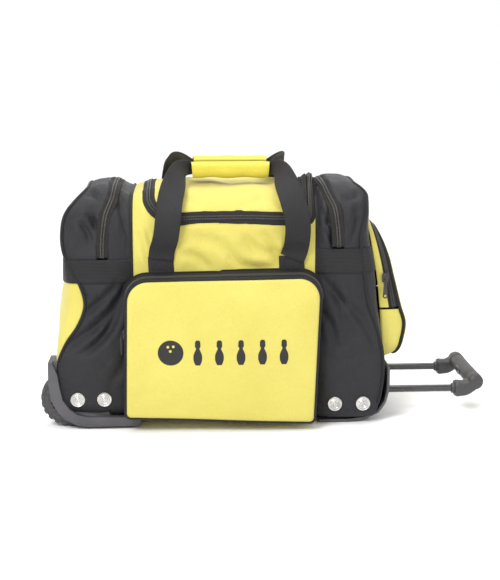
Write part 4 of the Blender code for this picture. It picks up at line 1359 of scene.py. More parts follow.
LEFT_END = EndCompartment(
    side=-1.0, name="left", seam=-0.133,
    outer=Course(((0.015, -0.243), (0.06, -0.246), (0.105, -0.244), (0.13, -0.233), (0.160, -0.213),
                  (0.190, -0.203),
                  (0.215, -0.208), (0.24, -0.220), (0.262, -0.2305), (0.300, -0.2345), (0.33, -0.2265),
                  (0.348, -0.211),
                  (0.360, -0.198))),
    end=Course(((0.015, -0.246), (0.095, -0.252), (0.15, -0.2505), (0.186, -0.247), (0.240, -0.2390),
                (0.262, -0.2340),
                (0.300, -0.2352), (0.33, -0.2272), (0.348, -0.2115), (0.360, -0.1983))),
    zip_line=Course(((0.20, -0.1745), (0.30, -0.1740), (0.325, -0.1700), (0.350, -0.1600),
                     (0.372, -0.1560))),
    flap_z=0.262, band=(0.223, 0.2585), cap_finish=Finish.YELLOW, cap_low=0.104,
    depth=Course(((0.0, 0.1225), (0.12, 0.1275), (0.4, 0.1305), (0.8, 0.1295), (1.0, 0.1275))),
    height=Course(((0.0, 0.348), (0.10, 0.3530), (0.30, 0.3640), (0.55, 0.3680), (0.8, 0.3660),
                   (1.0, 0.3600))),
    creases=(Crease(-0.136, 0.236, -0.236, 0.128, 0.010, 0.0060),
             Crease(-0.138, 0.224, -0.214, 0.112, 0.009, 0.0042),
             Crease(-0.142, 0.244, -0.232, 0.170, 0.008, 0.0040),
             Crease(-0.150, 0.200, -0.238, 0.092, 0.009, 0.0030),
             Crease(-0.200, 0.330, -0.184, 0.300, 0.007, 0.0060),
             Crease(-0.212, 0.318, -0.192, 0.282, 0.007, 0.0036),
             Crease(-0.160, 0.356, -0.142, 0.300, 0.006, 0.0042),
             Crease(-0.150, 0.330, -0.140, 0.262, 0.005, 0.0026),
             Crease(-0.205, 0.355, -0.176, 0.345, 0.006, 0.0036),
             Crease(-0.140, 0.215, -0.170, 0.060, 0.010, 0.0022)),
)
RIGHT_END = EndCompartment(
    side=1.0, name="right", seam=0.144,
    outer=Course(((0.006, 0.232), (0.045, 0.243), (0.08, 0.247), (0.115, 0.245), (0.15, 0.236),
                  (0.19, 0.222), (0.232, 0.216),
                  (0.267, 0.211), (0.290, 0.2095), (0.306, 0.2125), (0.322, 0.217), (0.342, 0.2195),
                  (0.352, 0.2185),
                  (0.360, 0.2115), (0.365, 0.204))),
    end=Course(((0.006, 0.240), (0.05, 0.2475), (0.10, 0.2485), (0.20, 0.2430), (0.306, 0.2270),
                (0.335, 0.2250),
                (0.350, 0.2205), (0.360, 0.2125), (0.365, 0.2042))),
    zip_line=Course(((0.20, 0.1740), (0.31, 0.1735), (0.335, 0.1690), (0.355, 0.1600), (0.374, 0.1560))),
    flap_z=0.306, band=(0.235, 0.2725), cap_finish=Finish.BLACK, cap_low=0.060,
    depth=Course(((0.0, 0.1225), (0.12, 0.1275), (0.4, 0.1305), (0.8, 0.1285), (1.0, 0.1240))),
    height=Course(((0.0, 0.348), (0.10, 0.3560), (0.30, 0.3670), (0.55, 0.3700), (0.8, 0.3690),
                   (1.0, 0.3650))),
    creases=(Crease(0.150, 0.330, 0.166, 0.262, 0.006, 0.0046),
             Crease(0.152, 0.300, 0.170, 0.268, 0.005, 0.0030),
             Crease(0.160, 0.350, 0.152, 0.300, 0.006, 0.0036),
             Crease(0.200, 0.340, 0.190, 0.276, 0.008, 0.0030),
             Crease(0.150, 0.228, 0.186, 0.150, 0.009, 0.0036),
             Crease(0.214, 0.356, 0.180, 0.348, 0.006, 0.0030),
             Crease(0.152, 0.212, 0.238, 0.110, 0.010, 0.0026),
             Crease(0.150, 0.180, 0.170, 0.110, 0.009, 0.0028)),
)


# ---- patch pockets -------------------------------------------------------------------------------
@dataclass
class PatchPocket:
    """Pocket that stands on a panel: a gusset between a base outline and a face outline."""

    name: str
    corners: tuple[tuple[float, float], ...]
    rounds: tuple[float, ...]
    flare: Callable[[Array, Array], Array]
    heights: tuple[float, float]
    dome: float
    to_bag: Callable[[Array, Array, Array], Array]
    face_height: Callable[[Array, Array], Array]

    def outline(self, count: int = 220) -> Array:
        """Face outline through rounded corners, evenly spaced, starting at the bottom's middle.

        Args:
            count: points on the outline.

        Returns:
            The outline's points.
        """
        points = []
        total = len(self.corners)
        for k in range(total):
            here, back, ahead = (np.array(self.corners[i % total], float) for i in (k, k - 1, k + 1))
            before, after = unit(back - here), unit(ahead - here)
            half = 0.5 * math.acos(float(np.clip(before @ after, -1, 1)))
            reach = self.rounds[k] / math.tan(half)
            centre = here + unit(before + after) * self.rounds[k] / math.sin(half)
            a, b = here + before * reach - centre, here + after * reach - centre
            t = np.linspace(0, 1, 12)[:, None]
            points.append(centre + unit(a * (1 - t) + b * t) * self.rounds[k])
        ring = np.vstack(points)
        ring = np.roll(ring, -12, axis=0)
        ring = np.vstack([ring, ring[:1]])
        run = np.concatenate([[0.0], np.cumsum(np.linalg.norm(np.diff(ring, axis=0), axis=1))])
        even = np.linspace(0, run[-1], count, endpoint=False)
        return np.stack([np.interp(even, run, ring[:, k]) for k in range(2)], 1)

    def face(self) -> Patch:
        """Face: rings from the outline to its middle, crowned, with a rolled edge."""
        outline = self.outline()
        middle = outline.mean(0)
        share = np.concatenate([[1.0, 0.996, 0.985, 0.965], np.linspace(0.93, 0.02, 40)])
        plane = middle + (outline - middle)[None] * share[:, None, None]
        p, q = plane[..., 0], plane[..., 1]
        edge = np.clip((1 - share) / 0.035, 0, 1)
        roll = np.sqrt(1 - (1 - edge) ** 2)
        crown = self.dome * (1 - share**2.2)
        height = self.face_height(p, q) - 0.004 + 0.004 * roll[:, None] + crown[:, None]
        base = self.to_bag(p, q, height)
        swell = 0.0026 * ripple(base, 0.055, 7.0) + 0.0008 * ripple(base, 0.02, 3.0)
        height = height + swell * np.clip((1 - share) / 0.15, 0, 1)[:, None]
        points = self.to_bag(p, q, height)
        rows, columns = points.shape[:2]
        faces = grid_faces(rows, columns, True)
        cloth = np.stack([p, q], -1)
        lid = list(range((rows - 1) * columns, rows * columns))
        return Patch(points.reshape(-1, 3), faces.tolist() + [lid], cloth.reshape(-1, 2))

    def gusset(self, low: float, high: float, keep: Callable[[Array, Array], Array], bulge: float) -> Patch:
        """Part of the gusset between two shares of its height, where keep is positive.

        At each point of the outline the gusset leans in from the flared base to the face.

        Args:
            low: share of the height where the part starts.
            high: share where it ends.
            keep: function of outline points (p, q), positive where the part exists.
            bulge: how far it swells outwards halfway.

        Returns:
            The patch.
        """
        outline = self.outline()
        out = unit(np.roll(outline, -1, axis=0) - np.roll(outline, 1, axis=0)) @ np.array([[0, -1], [1, 0]])
        share = np.linspace(low, high, 9)
        flare = self.flare(outline[:, 0], outline[:, 1])
        wide = (1 - share)[:, None] * flare + bulge * np.sin(math.pi * share)[:, None]
        plane = outline[None] + out[None] * wide[..., None]
        p, q = plane[..., 0], plane[..., 1]
        top = self.face_height(outline[:, 0], outline[:, 1])[None] - 0.004
        height = self.heights[0] + (top - self.heights[0]) * share[:, None]
        points = self.to_bag(p, q, np.broadcast_to(height, p.shape))
        rows, columns = points.shape[:2]
        faces = grid_faces(rows, columns, True)
        used = keep(outline[:, 0], outline[:, 1]) > 0
        faces = faces[used[faces % columns].all(1)]
        run = np.arange(columns) * np.linalg.norm(np.roll(outline, -1, axis=0) - outline, axis=1).mean()
        uv = np.stack(np.broadcast_arrays(run[None, :], height[..., :]), -1)
        uv = np.broadcast_to(uv, (rows, columns, 2)).reshape(-1, 2)
        numbers = np.unique(faces)
        renumber = np.zeros(rows * columns, int)
        renumber[numbers] = np.arange(len(numbers))
        return Patch(points.reshape(-1, 3)[numbers], renumber[faces].tolist(), uv[numbers])

    def edge_path(self, share: float, out: float = 0.0) -> Array:
        """Closed path round the pocket at a share of its height."""
        outline = self.outline()
        away = unit(np.roll(outline, -1, axis=0) - np.roll(outline, 1, axis=0)) @ np.array([[0, -1], [1, 0]])
        wide = (1 - share) * self.flare(outline[:, 0], outline[:, 1]) + out
        plane = outline + away * wide[:, None]
        top = self.face_height(outline[:, 0], outline[:, 1]) - 0.004
        height = self.heights[0] + (top - self.heights[0]) * share
        return self.to_bag(plane[:, 0], plane[:, 1], height)

    def bound_edge(self, share: float, radius: float = 0.0029) -> Patch:
        """Piping all the way round at a share of the height."""
        path = self.edge_path(share, 0.0006)
        ring = np.vstack([path, path[:2]])
        return sweep(circle(radius, 10), ring, unit(ring - ring.mean(0)))

    def zip_line(self, share: float, keep: Callable[[Array, Array], Array]) -> tuple[Array, Array]:
        """Path and outward direction of a zip round the gusset, where keep is positive."""
        path = self.edge_path(share, 0.0012)
        inner, outer = self.edge_path(share - 0.1), self.edge_path(share + 0.1)
        along = unit(np.roll(path, -1, axis=0) - np.roll(path, 1, axis=0))
        normal = unit(np.cross(along, outer - inner))
        outline = self.outline()
        used = keep(outline[:, 0], outline[:, 1]) > 0
        return path[used], normal[used]


def front_to_bag(p: Array, q: Array, height: Array) -> Array:
    """Front pocket's plane: height grows towards -Y from the front of the centre."""
    return np.stack(np.broadcast_arrays(p, -0.1255 - height, q), -1)


END_LINE = RIGHT_END.end


def end_to_bag(p: Array, q: Array, height: Array) -> Array:
    """End pocket's plane: height grows towards +X from the leaning right end."""
    return np.stack(np.broadcast_arrays(END_LINE(np.minimum(q, 0.300)) - 0.001 + height, p, q), -1)


@dataclass
class FrontPocket:
    """Large front pocket with a zip on three sides and a printed emblem."""

    zip_left: float = 0.150
    zip_right: float = 0.118

    def shape(self) -> PatchPocket:
        """Outline and heights of the pocket."""
        flare = lambda p, q: 0.0035 + 0.0055 * ease(q, 0.17, 0.225) + 0.001 * np.sign(p)
        height = lambda p, q: 0.0385 - 0.004 * ease(q, 0.19, 0.235) + 0.0012 * np.sin(p * 30)
        corners = ((-0.143, 0.025), (0.138, 0.0135), (0.147, 0.233), (-0.139, 0.229))
        return PatchPocket("front_pocket", corners, (0.006, 0.006, 0.030, 0.030), flare, (0.0, 0.0), 0.0035,
                           front_to_bag, height)

    def zipped(self, p: Array, q: Array) -> Array:
        """Positive along the zip."""
        return np.where(p < 0, q - self.zip_left, q - self.zip_right)

    def build(self) -> None:
        """Makes the gusset, zip, face, piping and emblem."""
        pocket = self.shape()
        lower = lambda p, q: -self.zipped(p, q) + 0.002
        upper = lambda p, q: self.zipped(p, q)
        sides = pocket.gusset(0.0, 0.97, lower, 0.0012)
        make.blended("front_pocket_gusset_low", sides, Finish.YELLOW, ("bag", "pocket_front"),
                     (0.0, -0.1270, 0.1), (0.0, -0.1580, 0.1), wall=0.0016, stands_for=("pocket_gusset",))
        back = pocket.gusset(0.0, 0.42, upper, 0.0012)
        make.piece("front_pocket_gusset_top", back, Finish.ZIP, wall=0.0016)
        path, normal = pocket.zip_line(0.66, upper)
        zip_pair("front_pocket_zip", path, normal, 0.0095, ("pocket_front", "bag"), ("", "pocket_zip"))
        make.piece("front_pocket_face", pocket.face(), Finish.PRINTED, "pocket_front", wall=0.0016,
                   stands_for=("pocket_face",))
        make.piece("front_pocket_piping", pocket.bound_edge(0.985), Finish.PIPING, "pocket_front")
        seam = pocket.bound_edge(0.08, 0.0016)
        make.piece("front_pocket_seam", seam, Finish.PIPING)


@dataclass
class EndPocket:
    """Yellow pocket on the right end, with a black zip band round its top."""

    zip_low: float = 0.172

    def shape(self) -> PatchPocket:
        """Outline and heights of the pocket."""
        rise = Course(((0.09, 0.016), (0.103, 0.0285), (0.127, 0.0375), (0.151, 0.0415), (0.175, 0.0360),
                       (0.222, 0.0290),
                       (0.255, 0.0260), (0.278, 0.021), (0.300, 0.014)))
        flare = lambda p, q: 0.007 + 0.006 * ease(q, 0.20, 0.28)
        corners = ((-0.092, 0.100), (0.092, 0.100), (0.086, 0.296), (-0.086, 0.296))
        return PatchPocket("end_pocket", corners, (0.022, 0.022, 0.034, 0.034), flare, (0.0, 0.0), 0.003,
                           end_to_bag, lambda p, q: rise(q))

    def build(self) -> None:
        """Makes the gusset, zip band, face and piping."""
        pocket = self.shape()
        low = lambda p, q: self.zip_low - q + 0.002
        high = lambda p, q: q - self.zip_low
        make.piece("end_pocket_gusset", pocket.gusset(0.0, 0.99, low, 0.002), Finish.YELLOW, wall=0.0016,
                   stands_for=("end_pocket",))
        make.piece("end_pocket_gusset_top", pocket.gusset(0.0, 0.45, high, 0.002), Finish.YELLOW,
                   wall=0.0016)
        path, normal = pocket.zip_line(0.70, high)
        zip_pair("end_pocket_zip", path, normal, 0.0095, ("bag", "bag"), ("", ""))
        make.piece("end_pocket_face", pocket.face(), Finish.YELLOW, wall=0.0016)
        make.piece("end_pocket_piping", pocket.bound_edge(0.99), Finish.PIPING)


# ---- carry straps --------------------------------------------------------------------------------
@dataclass
class CarryLoop:
    """One carry strap: a length of webbing from foot to foot, folded to half its width in the grip."""

    name: str
    sign: float
    legs: tuple[float, float]
    rise: tuple[tuple[float, float, float, float], ...]
    grip: tuple[float, float]
    foot: tuple[float, float]
    drift: tuple[float, ...]
    width: float = 0.038
    thick: float = 0.0021
    wrap: tuple[float, float] = (-0.040, 0.075)

    def stops(self) -> list[list[float]]:
        """Stops of the strap: x, y, z, the direction of its width, and its width's share.

        Each leg climbs from its foot and leans inwards; above the fold its width turns from
        sideways to upright, so that it runs edge up into the grip.
        """
        y, z = self.grip
        inner = [[self.wrap[0], y, z, 0.02, 0.15 * self.sign, -1.0, 0.52],
                 [sum(self.wrap) / 2, y, z, 0.0, 0.0, -1.0, 0.50],
                 [self.wrap[1], y, z, -0.02, 0.15 * self.sign, -1.0, 0.52]]
        sides = []
        count = len(self.rise)
        for end, x, drift in zip((1.0, -1.0), self.legs, (self.drift[:count], self.drift[count:])):
            leg = []
            for (out, up, turn, share), lean in zip(self.rise, drift):
                over = math.cos(turn) if end > 0 else -abs(math.cos(turn))
                wide = (over, 0.25 * self.sign * math.sin(turn), -math.sin(turn))
                leg.append([x + lean, self.sign * out, up, *wide, share])
            sides.append(leg)
        return sides[0] + inner + sides[1][::-1]

    def path(self, count: int = 320) -> tuple[Array, Array, Array]:
        """Centres, width directions and width shares along the strap."""
        rows = smooth_path(self.stops(), count)
        return rows[:, :3], unit(rows[:, 3:6]), rows[:, 6]

    def build(self) -> None:
        """Makes the strap, its two sewn feet and their stitching."""
        path, across, share = self.path()
        size = np.stack([share, 1.0 + 0.9 * (1 - share)], 1)
        strap = sweep(flat_profile(self.width, self.thick, 0.0004), path, across, scale=size)
        run = np.arange(len(path)) * float(np.linalg.norm(np.diff(path, axis=0), axis=1).mean())
        profile = flat_profile(self.width, self.thick)
        strap.uv = np.stack(np.broadcast_arrays(run[:, None], profile[None, :, 0]), -1).reshape(-1, 2)
        make.blended(f"carry_strap_{self.name}", strap, Finish.WEBBING, ("bag", f"carry_{self.name}"),
                     (0.0, 0.0, 0.2625), (0.0, 0.0, 0.292), stands_for=(f"strap_{self.name}",))
        for key, x in zip(("left", "right"), self.legs):
            self.build_foot(key, x)

    def build_foot(self, key: str, x: float) -> None:
        """Foot sewn flat on the panel, with a crossed box of stitches at its top.

        Args:
            key: side of the foot, for its name.
            x: middle of the foot.
        """
        low, high = self.foot
        z = np.linspace(low, high, 24)
        out = self.sign * (0.1262 + 0.0018 + 0.0004 * np.sin(z * 160))
        path = np.stack([np.full(24, x) + 0.0006 * np.sin(z * 90), out, z], 1)
        across = np.tile([1.0, 0.0, 0.0], (24, 1))
        foot = sweep(flat_profile(self.width, self.thick), path, across)
        profile = flat_profile(self.width, self.thick)
        foot.uv = np.stack(np.broadcast_arrays(z[:, None], profile[None, :, 0]), -1).reshape(-1, 2)
        make.piece(f"carry_foot_{self.name}_{key}", foot, Finish.WEBBING,
                   stands_for=(f"strap_foot_{self.name}_{key}",))
        half, top = self.width / 2 - 0.0035, high - 0.003
        base = top - 0.019
        lines = (((-half, base), (half, base)), ((-half, top), (half, top)), ((-half, base), (-half, top)),
                 ((half, base), (half, top)), ((-half, base), (half, top)), ((-half, top), (half, base)))
        face = self.sign * (0.1262 + 0.0018 + self.thick / 2 + 0.0004)
        patches = [stitches((x + a[0], face, a[1]), (x + b[0], face, b[1])) for a, b in lines]
        joined = patches[0]
        for other in patches[1:]:
            joined = joined.joined(other)
        make.piece(f"carry_stitching_{self.name}_{key}", joined, Finish.STITCH)


def stitches(start: Sequence[float], end: Sequence[float], pitch: float = 0.0032,
             radius: float = 0.00045) -> Patch:
    """Row of stitches: short threads whose ends dip into the cloth.

    Args:
        start: first point.
        end: last point.
        pitch: distance from stitch to stitch.
        radius: of the thread.

    Returns:
        The patch of all the stitches.
    """
    a, b = np.array(start, float), np.array(end, float)
    count = max(1, int(np.linalg.norm(b - a) / pitch))
    side = unit(np.cross(b - a, (0.0, 1.0, 0.0)))
    made: Patch | None = None
    for k in range(count):
        share = np.linspace((k + 0.1) / count, (k + 0.85) / count, 4)[:, None]
        path = a + (b - a) * share
        thread = sweep(circle(radius, 6), path, np.tile(side, (4, 1)), scale=np.array([0.4, 1.0, 1.0, 0.4]))
        made = thread if made is None else made.joined(thread)
    return made


FRONT_LOOP = CarryLoop(
    "front", -1.0, (-0.089, 0.106),
    ((0.1300, 0.2585, 0.0, 1.0), (0.1303, 0.2680, 0.0, 1.0), (0.1385, 0.290, 0.0, 1.0),
     (0.1405, 0.318, 0.05, 1.0),
     (0.1270, 0.344, 0.20, 1.0), (0.100, 0.3690, 0.62, 0.95), (0.066, 0.3870, 1.15, 0.72)),
    (-0.043, 0.3865), (0.2365, 0.262),
    (0.0, 0.001, 0.007, 0.011, 0.014, 0.021, 0.031, 0.0, 0.004, 0.0075, 0.007, 0.001, -0.007, -0.016),
)
REAR_LOOP = CarryLoop(
    "rear", 1.0, (-0.084, 0.098),
    ((0.1300, 0.2585, 0.0, 1.0), (0.1303, 0.2680, 0.0, 1.0), (0.1385, 0.292, 0.0, 1.0),
     (0.1400, 0.330, 0.0, 1.0),
     (0.1200, 0.366, 0.05, 1.0), (0.060, 0.3900, 0.15, 1.0), (0.006, 0.3965, 0.70, 0.9)),
    (-0.0215, 0.3880), (0.121, 0.262),
    (0.0, 0.001, 0.005, 0.009, 0.014, 0.022, 0.034, 0.0, -0.001, -0.003, -0.004, -0.006, -0.008, -0.012),
)


@dataclass
class HandleWrap:
    """Yellow cloth wrapped round the two straps: a roll over the rear strap and a flap in front."""

    start: float = -0.0405
    end: float = 0.0755

    def build(self) -> None:
        """Makes both parts with their bound ends."""
        roll = ((-0.0365, 0.3968), (-0.0315, 0.4005), (-0.0235, 0.4018), (-0.0150, 0.3990),
                (-0.0112, 0.3930),
                (-0.0110, 0.3850), (-0.0135, 0.3785), (-0.0200, 0.3765), (-0.0275, 0.3775),
                (-0.0310, 0.3815))
        flap = ((-0.0465, 0.3948), (-0.0500, 0.3938), (-0.0530, 0.3900), (-0.0535, 0.3850),
                (-0.0525, 0.3780),
                (-0.0490, 0.3735), (-0.0430, 0.3728), (-0.0370, 0.3755), (-0.0335, 0.3815),
                (-0.0335, 0.3880))
        self.cover("rear", roll, "carry_rear", 1.0)
        self.cover("front", flap, "carry_front", -1.0)

    def cover(self, name: str, section: Sequence[tuple[float, float]], body: str, sign: float) -> None:
        """One wrapped sheet with its hem.

        Args:
            name: front or rear.
            section: y and z of the sheet from edge to edge.
            body: body that it rides on.
            sign: +1 where the section turns clockwise seen from the left.
        """
        line = smooth_path([(0.0, y, z) for y, z in section], 40)[:, 1:]
        x = np.linspace(self.start, self.end, 90)
        wave = 0.0008 * np.sin(x * 120)[:, None] * np.sin(np.linspace(0, math.pi, 40))[None]
        centre = line.mean(0)
        out = unit(line - centre)
        plump = (1.0 - 0.06 * np.exp(-((x - self.start) / 0.006) ** 2) -
                 0.06 * np.exp(-((x - self.end) / 0.006) ** 2))
        yz = centre + (line - centre)[None] * plump[:, None, None] + out[None] * wave[..., None]
        skew = 0.0022 * sign * (np.linspace(-1, 1, 90)[:, None] * np.linspace(-1, 1, 40)[None])
        points = np.stack([np.broadcast_to(x[:, None], skew.shape) + skew, yz[..., 0], yz[..., 1]], -1)
        faces = grid_faces(90, 40)
        normal = np.cross(points[1, 20] - points[0, 20], points[0, 21] - points[0, 20])
        if normal @ np.array([0.0, *(line[20] - centre)]) < 0:
            faces = faces[:, ::-1]
        patch = Patch(points.reshape(-1, 3), faces.tolist(), grid_uv(points).reshape(-1, 2))
        wrap = make.piece(f"handle_wrap_{name}", patch, Finish.WRAP, body, wall=0.0016,
                          stands_for=(f"wrap_{name}",))
        for key, column in (("hem_a", 0), ("hem_b", -1)):
            path = points[:, column]
            make.piece(f"handle_wrap_{name}_{key}", piping(path, 0.0011), Finish.WRAP, body)


# ---- small fittings ------------------------------------------------------------------------------
def bag_box(node: str) -> tuple[Array, Array]:
    """Lowest and highest corner of a CAD node in bag coordinates."""
    low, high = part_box(node)
    return np.array(low) - SHIFT, np.array(high) - SHIFT


class Rivets:
    """Eight steel rivets with ringed washers through the lower corners."""

    rings = ((0.0110, 0.0), (0.0111, 0.0010), (0.0106, 0.0017), (0.0097, 0.0019), (0.0088, 0.0014),
             (0.0080, 0.0013),
             (0.0073, 0.0018), (0.0065, 0.0018), (0.0058, 0.0012), (0.0051, 0.0012), (0.0045, 0.0017),
             (0.0037, 0.0018),
             (0.0030, 0.0011), (0.0022, 0.0010), (0.0015, 0.0014), (0.0004, 0.0015))

    def build(self) -> None:
        """Turns each washer's profile about its own node's middle."""
        for sign, key in SIDES:
            for k in range(1, 5):
                node = f"rivet_{key}_{k}"
                low, high = bag_box(node)
                centre = (low + high) / 2
                centre[1] = high[1] if sign < 0 else low[1]
                depth = high[1] - low[1]
                rows = [(0.0050, 0.0), *((r, h + depth - 0.0019) for r, h in self.rings)]
                rows[1] = (0.0108, depth - 0.0030)
                profile = [(r, h * sign) for r, h in rows]
                make.piece(node + "_washer", lathe(profile, centre, "Y", 40), Finish.RIVET, sharp=35.0,
                           stands_for=(node,))


def rounded_block(low: Array, high: Array, axis: int, power: float = 4.0, rise: float = 0.25) -> Patch:
    """Block with soft corners: rings of a superellipse that shrink towards both ends of an axis.

    Args:
        low: lowest corner.
        high: highest corner.
        axis: number of the axis that it is built along.
        power: how square the rings are.
        rise: share of the length over which each end is rounded.

    Returns:
        The patch.
    """
    centre, half = (low + high) / 2, (high - low) / 2
    step = np.concatenate([np.linspace(0, 1, 7)[1:] * rise, [0.5], 1 - np.linspace(1, 0, 7)[:-1] * rise])
    near = np.minimum(np.minimum(step, 1 - step) / rise, 1.0)
    shrink = 0.62 + 0.38 * np.sqrt(1 - (1 - near) ** 2)
    angle = np.linspace(0, 2 * math.pi, 40, endpoint=False)
    a = np.sign(np.cos(angle)) * np.abs(np.cos(angle)) ** (2 / power)
    b = np.sign(np.sin(angle)) * np.abs(np.sin(angle)) ** (2 / power)
    others = [k for k in range(3) if k != axis]
    points = np.zeros((len(step), 40, 3))
    points[..., axis] = centre[axis] + (step * 2 - 1)[:, None] * half[axis]
    points[..., others[0]] = centre[others[0]] + shrink[:, None] * a * half[others[0]]
    points[..., others[1]] = centre[others[1]] + shrink[:, None] * b * half[others[1]]
    rows = len(step)
    faces = grid_faces(rows, 40, True).tolist()
    faces += [list(range(40))[::-1], list(range((rows - 1) * 40, rows * 40))]
    uv = np.repeat(np.arange(rows) * 0.002, 40)[:, None] + np.zeros(2)
    made = Patch(points.reshape(-1, 3), faces, uv)
    return made if signed_volume(made) > 0 else made.flipped()


@dataclass
class Slider:
    """Zip slider: a body with a bridge over it and, on some zips, a pull tag with a round hole."""

    name: str
    bodies: tuple[str, str]
    face: tuple[int, float]
    tag: bool = True

    def build(self) -> None:
        """Makes the body and bridge on the slider's node, and the tag on the puller's."""
        axis, sign = self.face
        low, high = bag_box(f"slider_{self.name}")
        back, front = (low[axis], high[axis]) if sign > 0 else (high[axis], low[axis])
        body_low, body_high = low.copy(), high.copy()
        edge = back + (front - back) * 0.62
        body_low[axis], body_high[axis] = min(back, edge), max(back, edge)
        block = rounded_block(body_low, body_high, axis)
        over = 1 - axis
        turn = np.linspace(0.0, math.pi, 14)
        height = (high[2] - low[2]) * 0.36
        path = np.zeros((14, 3))
        path[:, over] = (low[over] + high[over]) / 2
        path[:, 2] = (low[2] + high[2]) / 2 + height * np.cos(turn)
        path[:, axis] = edge - sign * 0.0006 + sign * 0.0022 * np.sin(turn)
        wide = np.zeros((14, 3))
        wide[:, over] = 1.0
        bridge = sweep(flat_profile(0.0030, 0.0011), path, wide)
        make.piece(f"zip_slider_{self.name}", block.joined(bridge), Finish.SLIDER, self.bodies[0],
                   sharp=40.0,
                   stands_for=(f"slider_{self.name}",))
        if self.tag:
            self.build_tag(axis, over)

    def build_tag(self, axis: int, over: int) -> None:
        """Pull tag: a plate whose outline widens to a round end, with a hole in it.

        The half width grows from 2.6 mm at the top to 4.0 mm at the centre of the round end.

        Args:
            axis: axis that the tag is thin along.
            over: axis that the tag is wide along.
        """
        low, high = bag_box(f"puller_{self.name}")
        centre = (low + high) / 2
        eye = low[2] + 0.0046
        angle = np.linspace(0, 2 * math.pi, 48, endpoint=False)
        a, b = np.sin(angle), -np.cos(angle)
        outer = np.stack([0.0040 * a, np.where(b > 0, 0.0, 0.0040 * b)], 1)
        upper = b > 0
        outer[upper, 0] = np.sign(a[upper]) * np.minimum(np.abs(a[upper]) * 3.2,
                                                         1.0) * (0.0040 - 0.0014 * b[upper] ** 0.5)
        outer[upper, 1] = b[upper] * (high[2] - eye)
        hole = np.stack([0.0020 * a, 0.0020 * b], 1)
        thick = 0.0008
        ring = [(outer * 0.93, thick), (outer, thick * 0.5), (outer, -thick * 0.5), (outer * 0.93, -thick),
                (hole, -thick), (hole, thick)]
        points = np.zeros((len(ring), 48, 3))
        for k, (shape, offset) in enumerate(ring):
            points[k, :, over] = centre[over] + shape[:, 0]
            points[k, :, 2] = eye + shape[:, 1]
            points[k, :, axis] = centre[axis] + offset
        faces = grid_faces(len(ring), 48, True).tolist()
        last = (len(ring) - 1) * 48
        turn = np.arange(48)
        faces += np.stack([last + turn, last + (turn + 1) % 48, (turn + 1) % 48, turn], 1).tolist()
        uv = np.repeat(np.arange(len(ring)) * 0.002, 48)[:, None] + np.zeros(2)
        made = Patch(points.reshape(-1, 3), faces, uv)
        made = made if signed_volume(made) > 0 else made.flipped()
        make.piece(f"zip_tag_{self.name}", made, Finish.SLIDER, self.bodies[1], sharp=40.0,
                   stands_for=(f"puller_{self.name}",))


class Sliders:
    """Sliders of the five zips."""

    def build(self) -> None:
        """Builds each slider on the side of the bag that it faces."""
        for slider in (Slider("main", ("zip_main_slider", "zip_main_puller"), (1, -1.0)),
                       Slider("pocket", ("zip_pocket_slider", "zip_pocket_puller"), (0, -1.0)),
                       Slider("end", ("zip_end_slider", "zip_end_puller"), (1, -1.0)),
                       Slider("left", ("zip_left_slider", ""), (1, 1.0), False),
                       Slider("right", ("zip_right_slider", ""), (1, 1.0), False)):
            slider.build()


# ---- wheels and trolley --------------------------------------------------------------------------
@dataclass
class Wheels:
    """Two wheels: a lugged rubber tyre on a spoked hub."""

    radius: float = 0.0430
    half: float = 0.0138
    lugs: int = 22

    def tread(self, angle: Array, height: Array) -> Array:
        """Added radius of the tread: grooves between lugs, staggered on the two shoulders.

        A smoothed square wave of the angle opens the grooves, and only where the profile is near
        its full radius.
        """
        wave = np.sin(angle * self.lugs + np.where(height > 0, 0.0, math.pi))
        groove = ease(-wave, 0.05, 0.45)
        outer = ease(np.abs(height), 0.0020, 0.0034) * (1 - ease(np.abs(height), 0.0128, 0.0134))
        return -0.0030 * groove * outer

    def build(self) -> None:
        """Makes the tyres and hubs on their own bodies."""
        w = self.half
        tyre = [(0.0262, -w + 0.0030), (0.0275, -w + 0.0008), (0.0310, -w), (0.0345, -w),
                (0.0365, -w + 0.0012),
                (0.0385, -w + 0.0005), (0.0405, -w + 0.0012), (0.0420, -w + 0.0026), (0.0427, -w + 0.0045),
                (0.0430, -w + 0.0080), (0.0430, -0.0032), (0.0430, -0.0022), (0.0426, -0.0010)]
        tyre += [(r, -h) for r, h in tyre[::-1]]
        hub = [(0.0042, -w + 0.0005), (0.0085, -w - 0.0002), (0.0098, -w + 0.0010), (0.0104, -w + 0.0052),
               (0.0205, -w + 0.0060), (0.0228, -w + 0.0040), (0.0240, -w + 0.0012), (0.0256, -w + 0.0008)]
        hub += [(r, -h) for r, h in hub[::-1]]
        for _, key in SIDES:
            low, high = bag_box(f"tyre_{key}")
            centre = (low + high) / 2
            body = f"wheel_{key}"
            make.piece(f"wheel_tyre_{key}", lathe(tyre, centre, "Y", 220, self.tread, True), Finish.RUBBER,
                       body,
                       sharp=38.0, stands_for=(f"tyre_{key}",))
            make.piece(f"wheel_hub_{key}", lathe(hub, centre, "Y", 64, ring=True), Finish.HOUSING, body,
                       sharp=38.0,
                       stands_for=(f"hub_{key}",))
            spokes: Patch | None = None
            for side in (-1.0, 1.0):
                for turn in np.arange(6) * math.pi / 3:
                    way = np.array([math.cos(turn), 0.0, math.sin(turn)])
                    reach = np.linspace(0.0095, 0.0235, 6)[:, None]
                    path = centre + way * reach + np.array([0.0, side * (w - 0.0042), 0.0])
                    wide = np.tile(np.cross(way, (0.0, 1.0, 0.0)), (6, 1))
                    rib = sweep(flat_profile(0.0042, 0.0040), path, wide)
                    spokes = rib if spokes is None else spokes.joined(rib)
            make.piece(f"wheel_spokes_{key}", spokes, Finish.HOUSING, body, sharp=38.0)


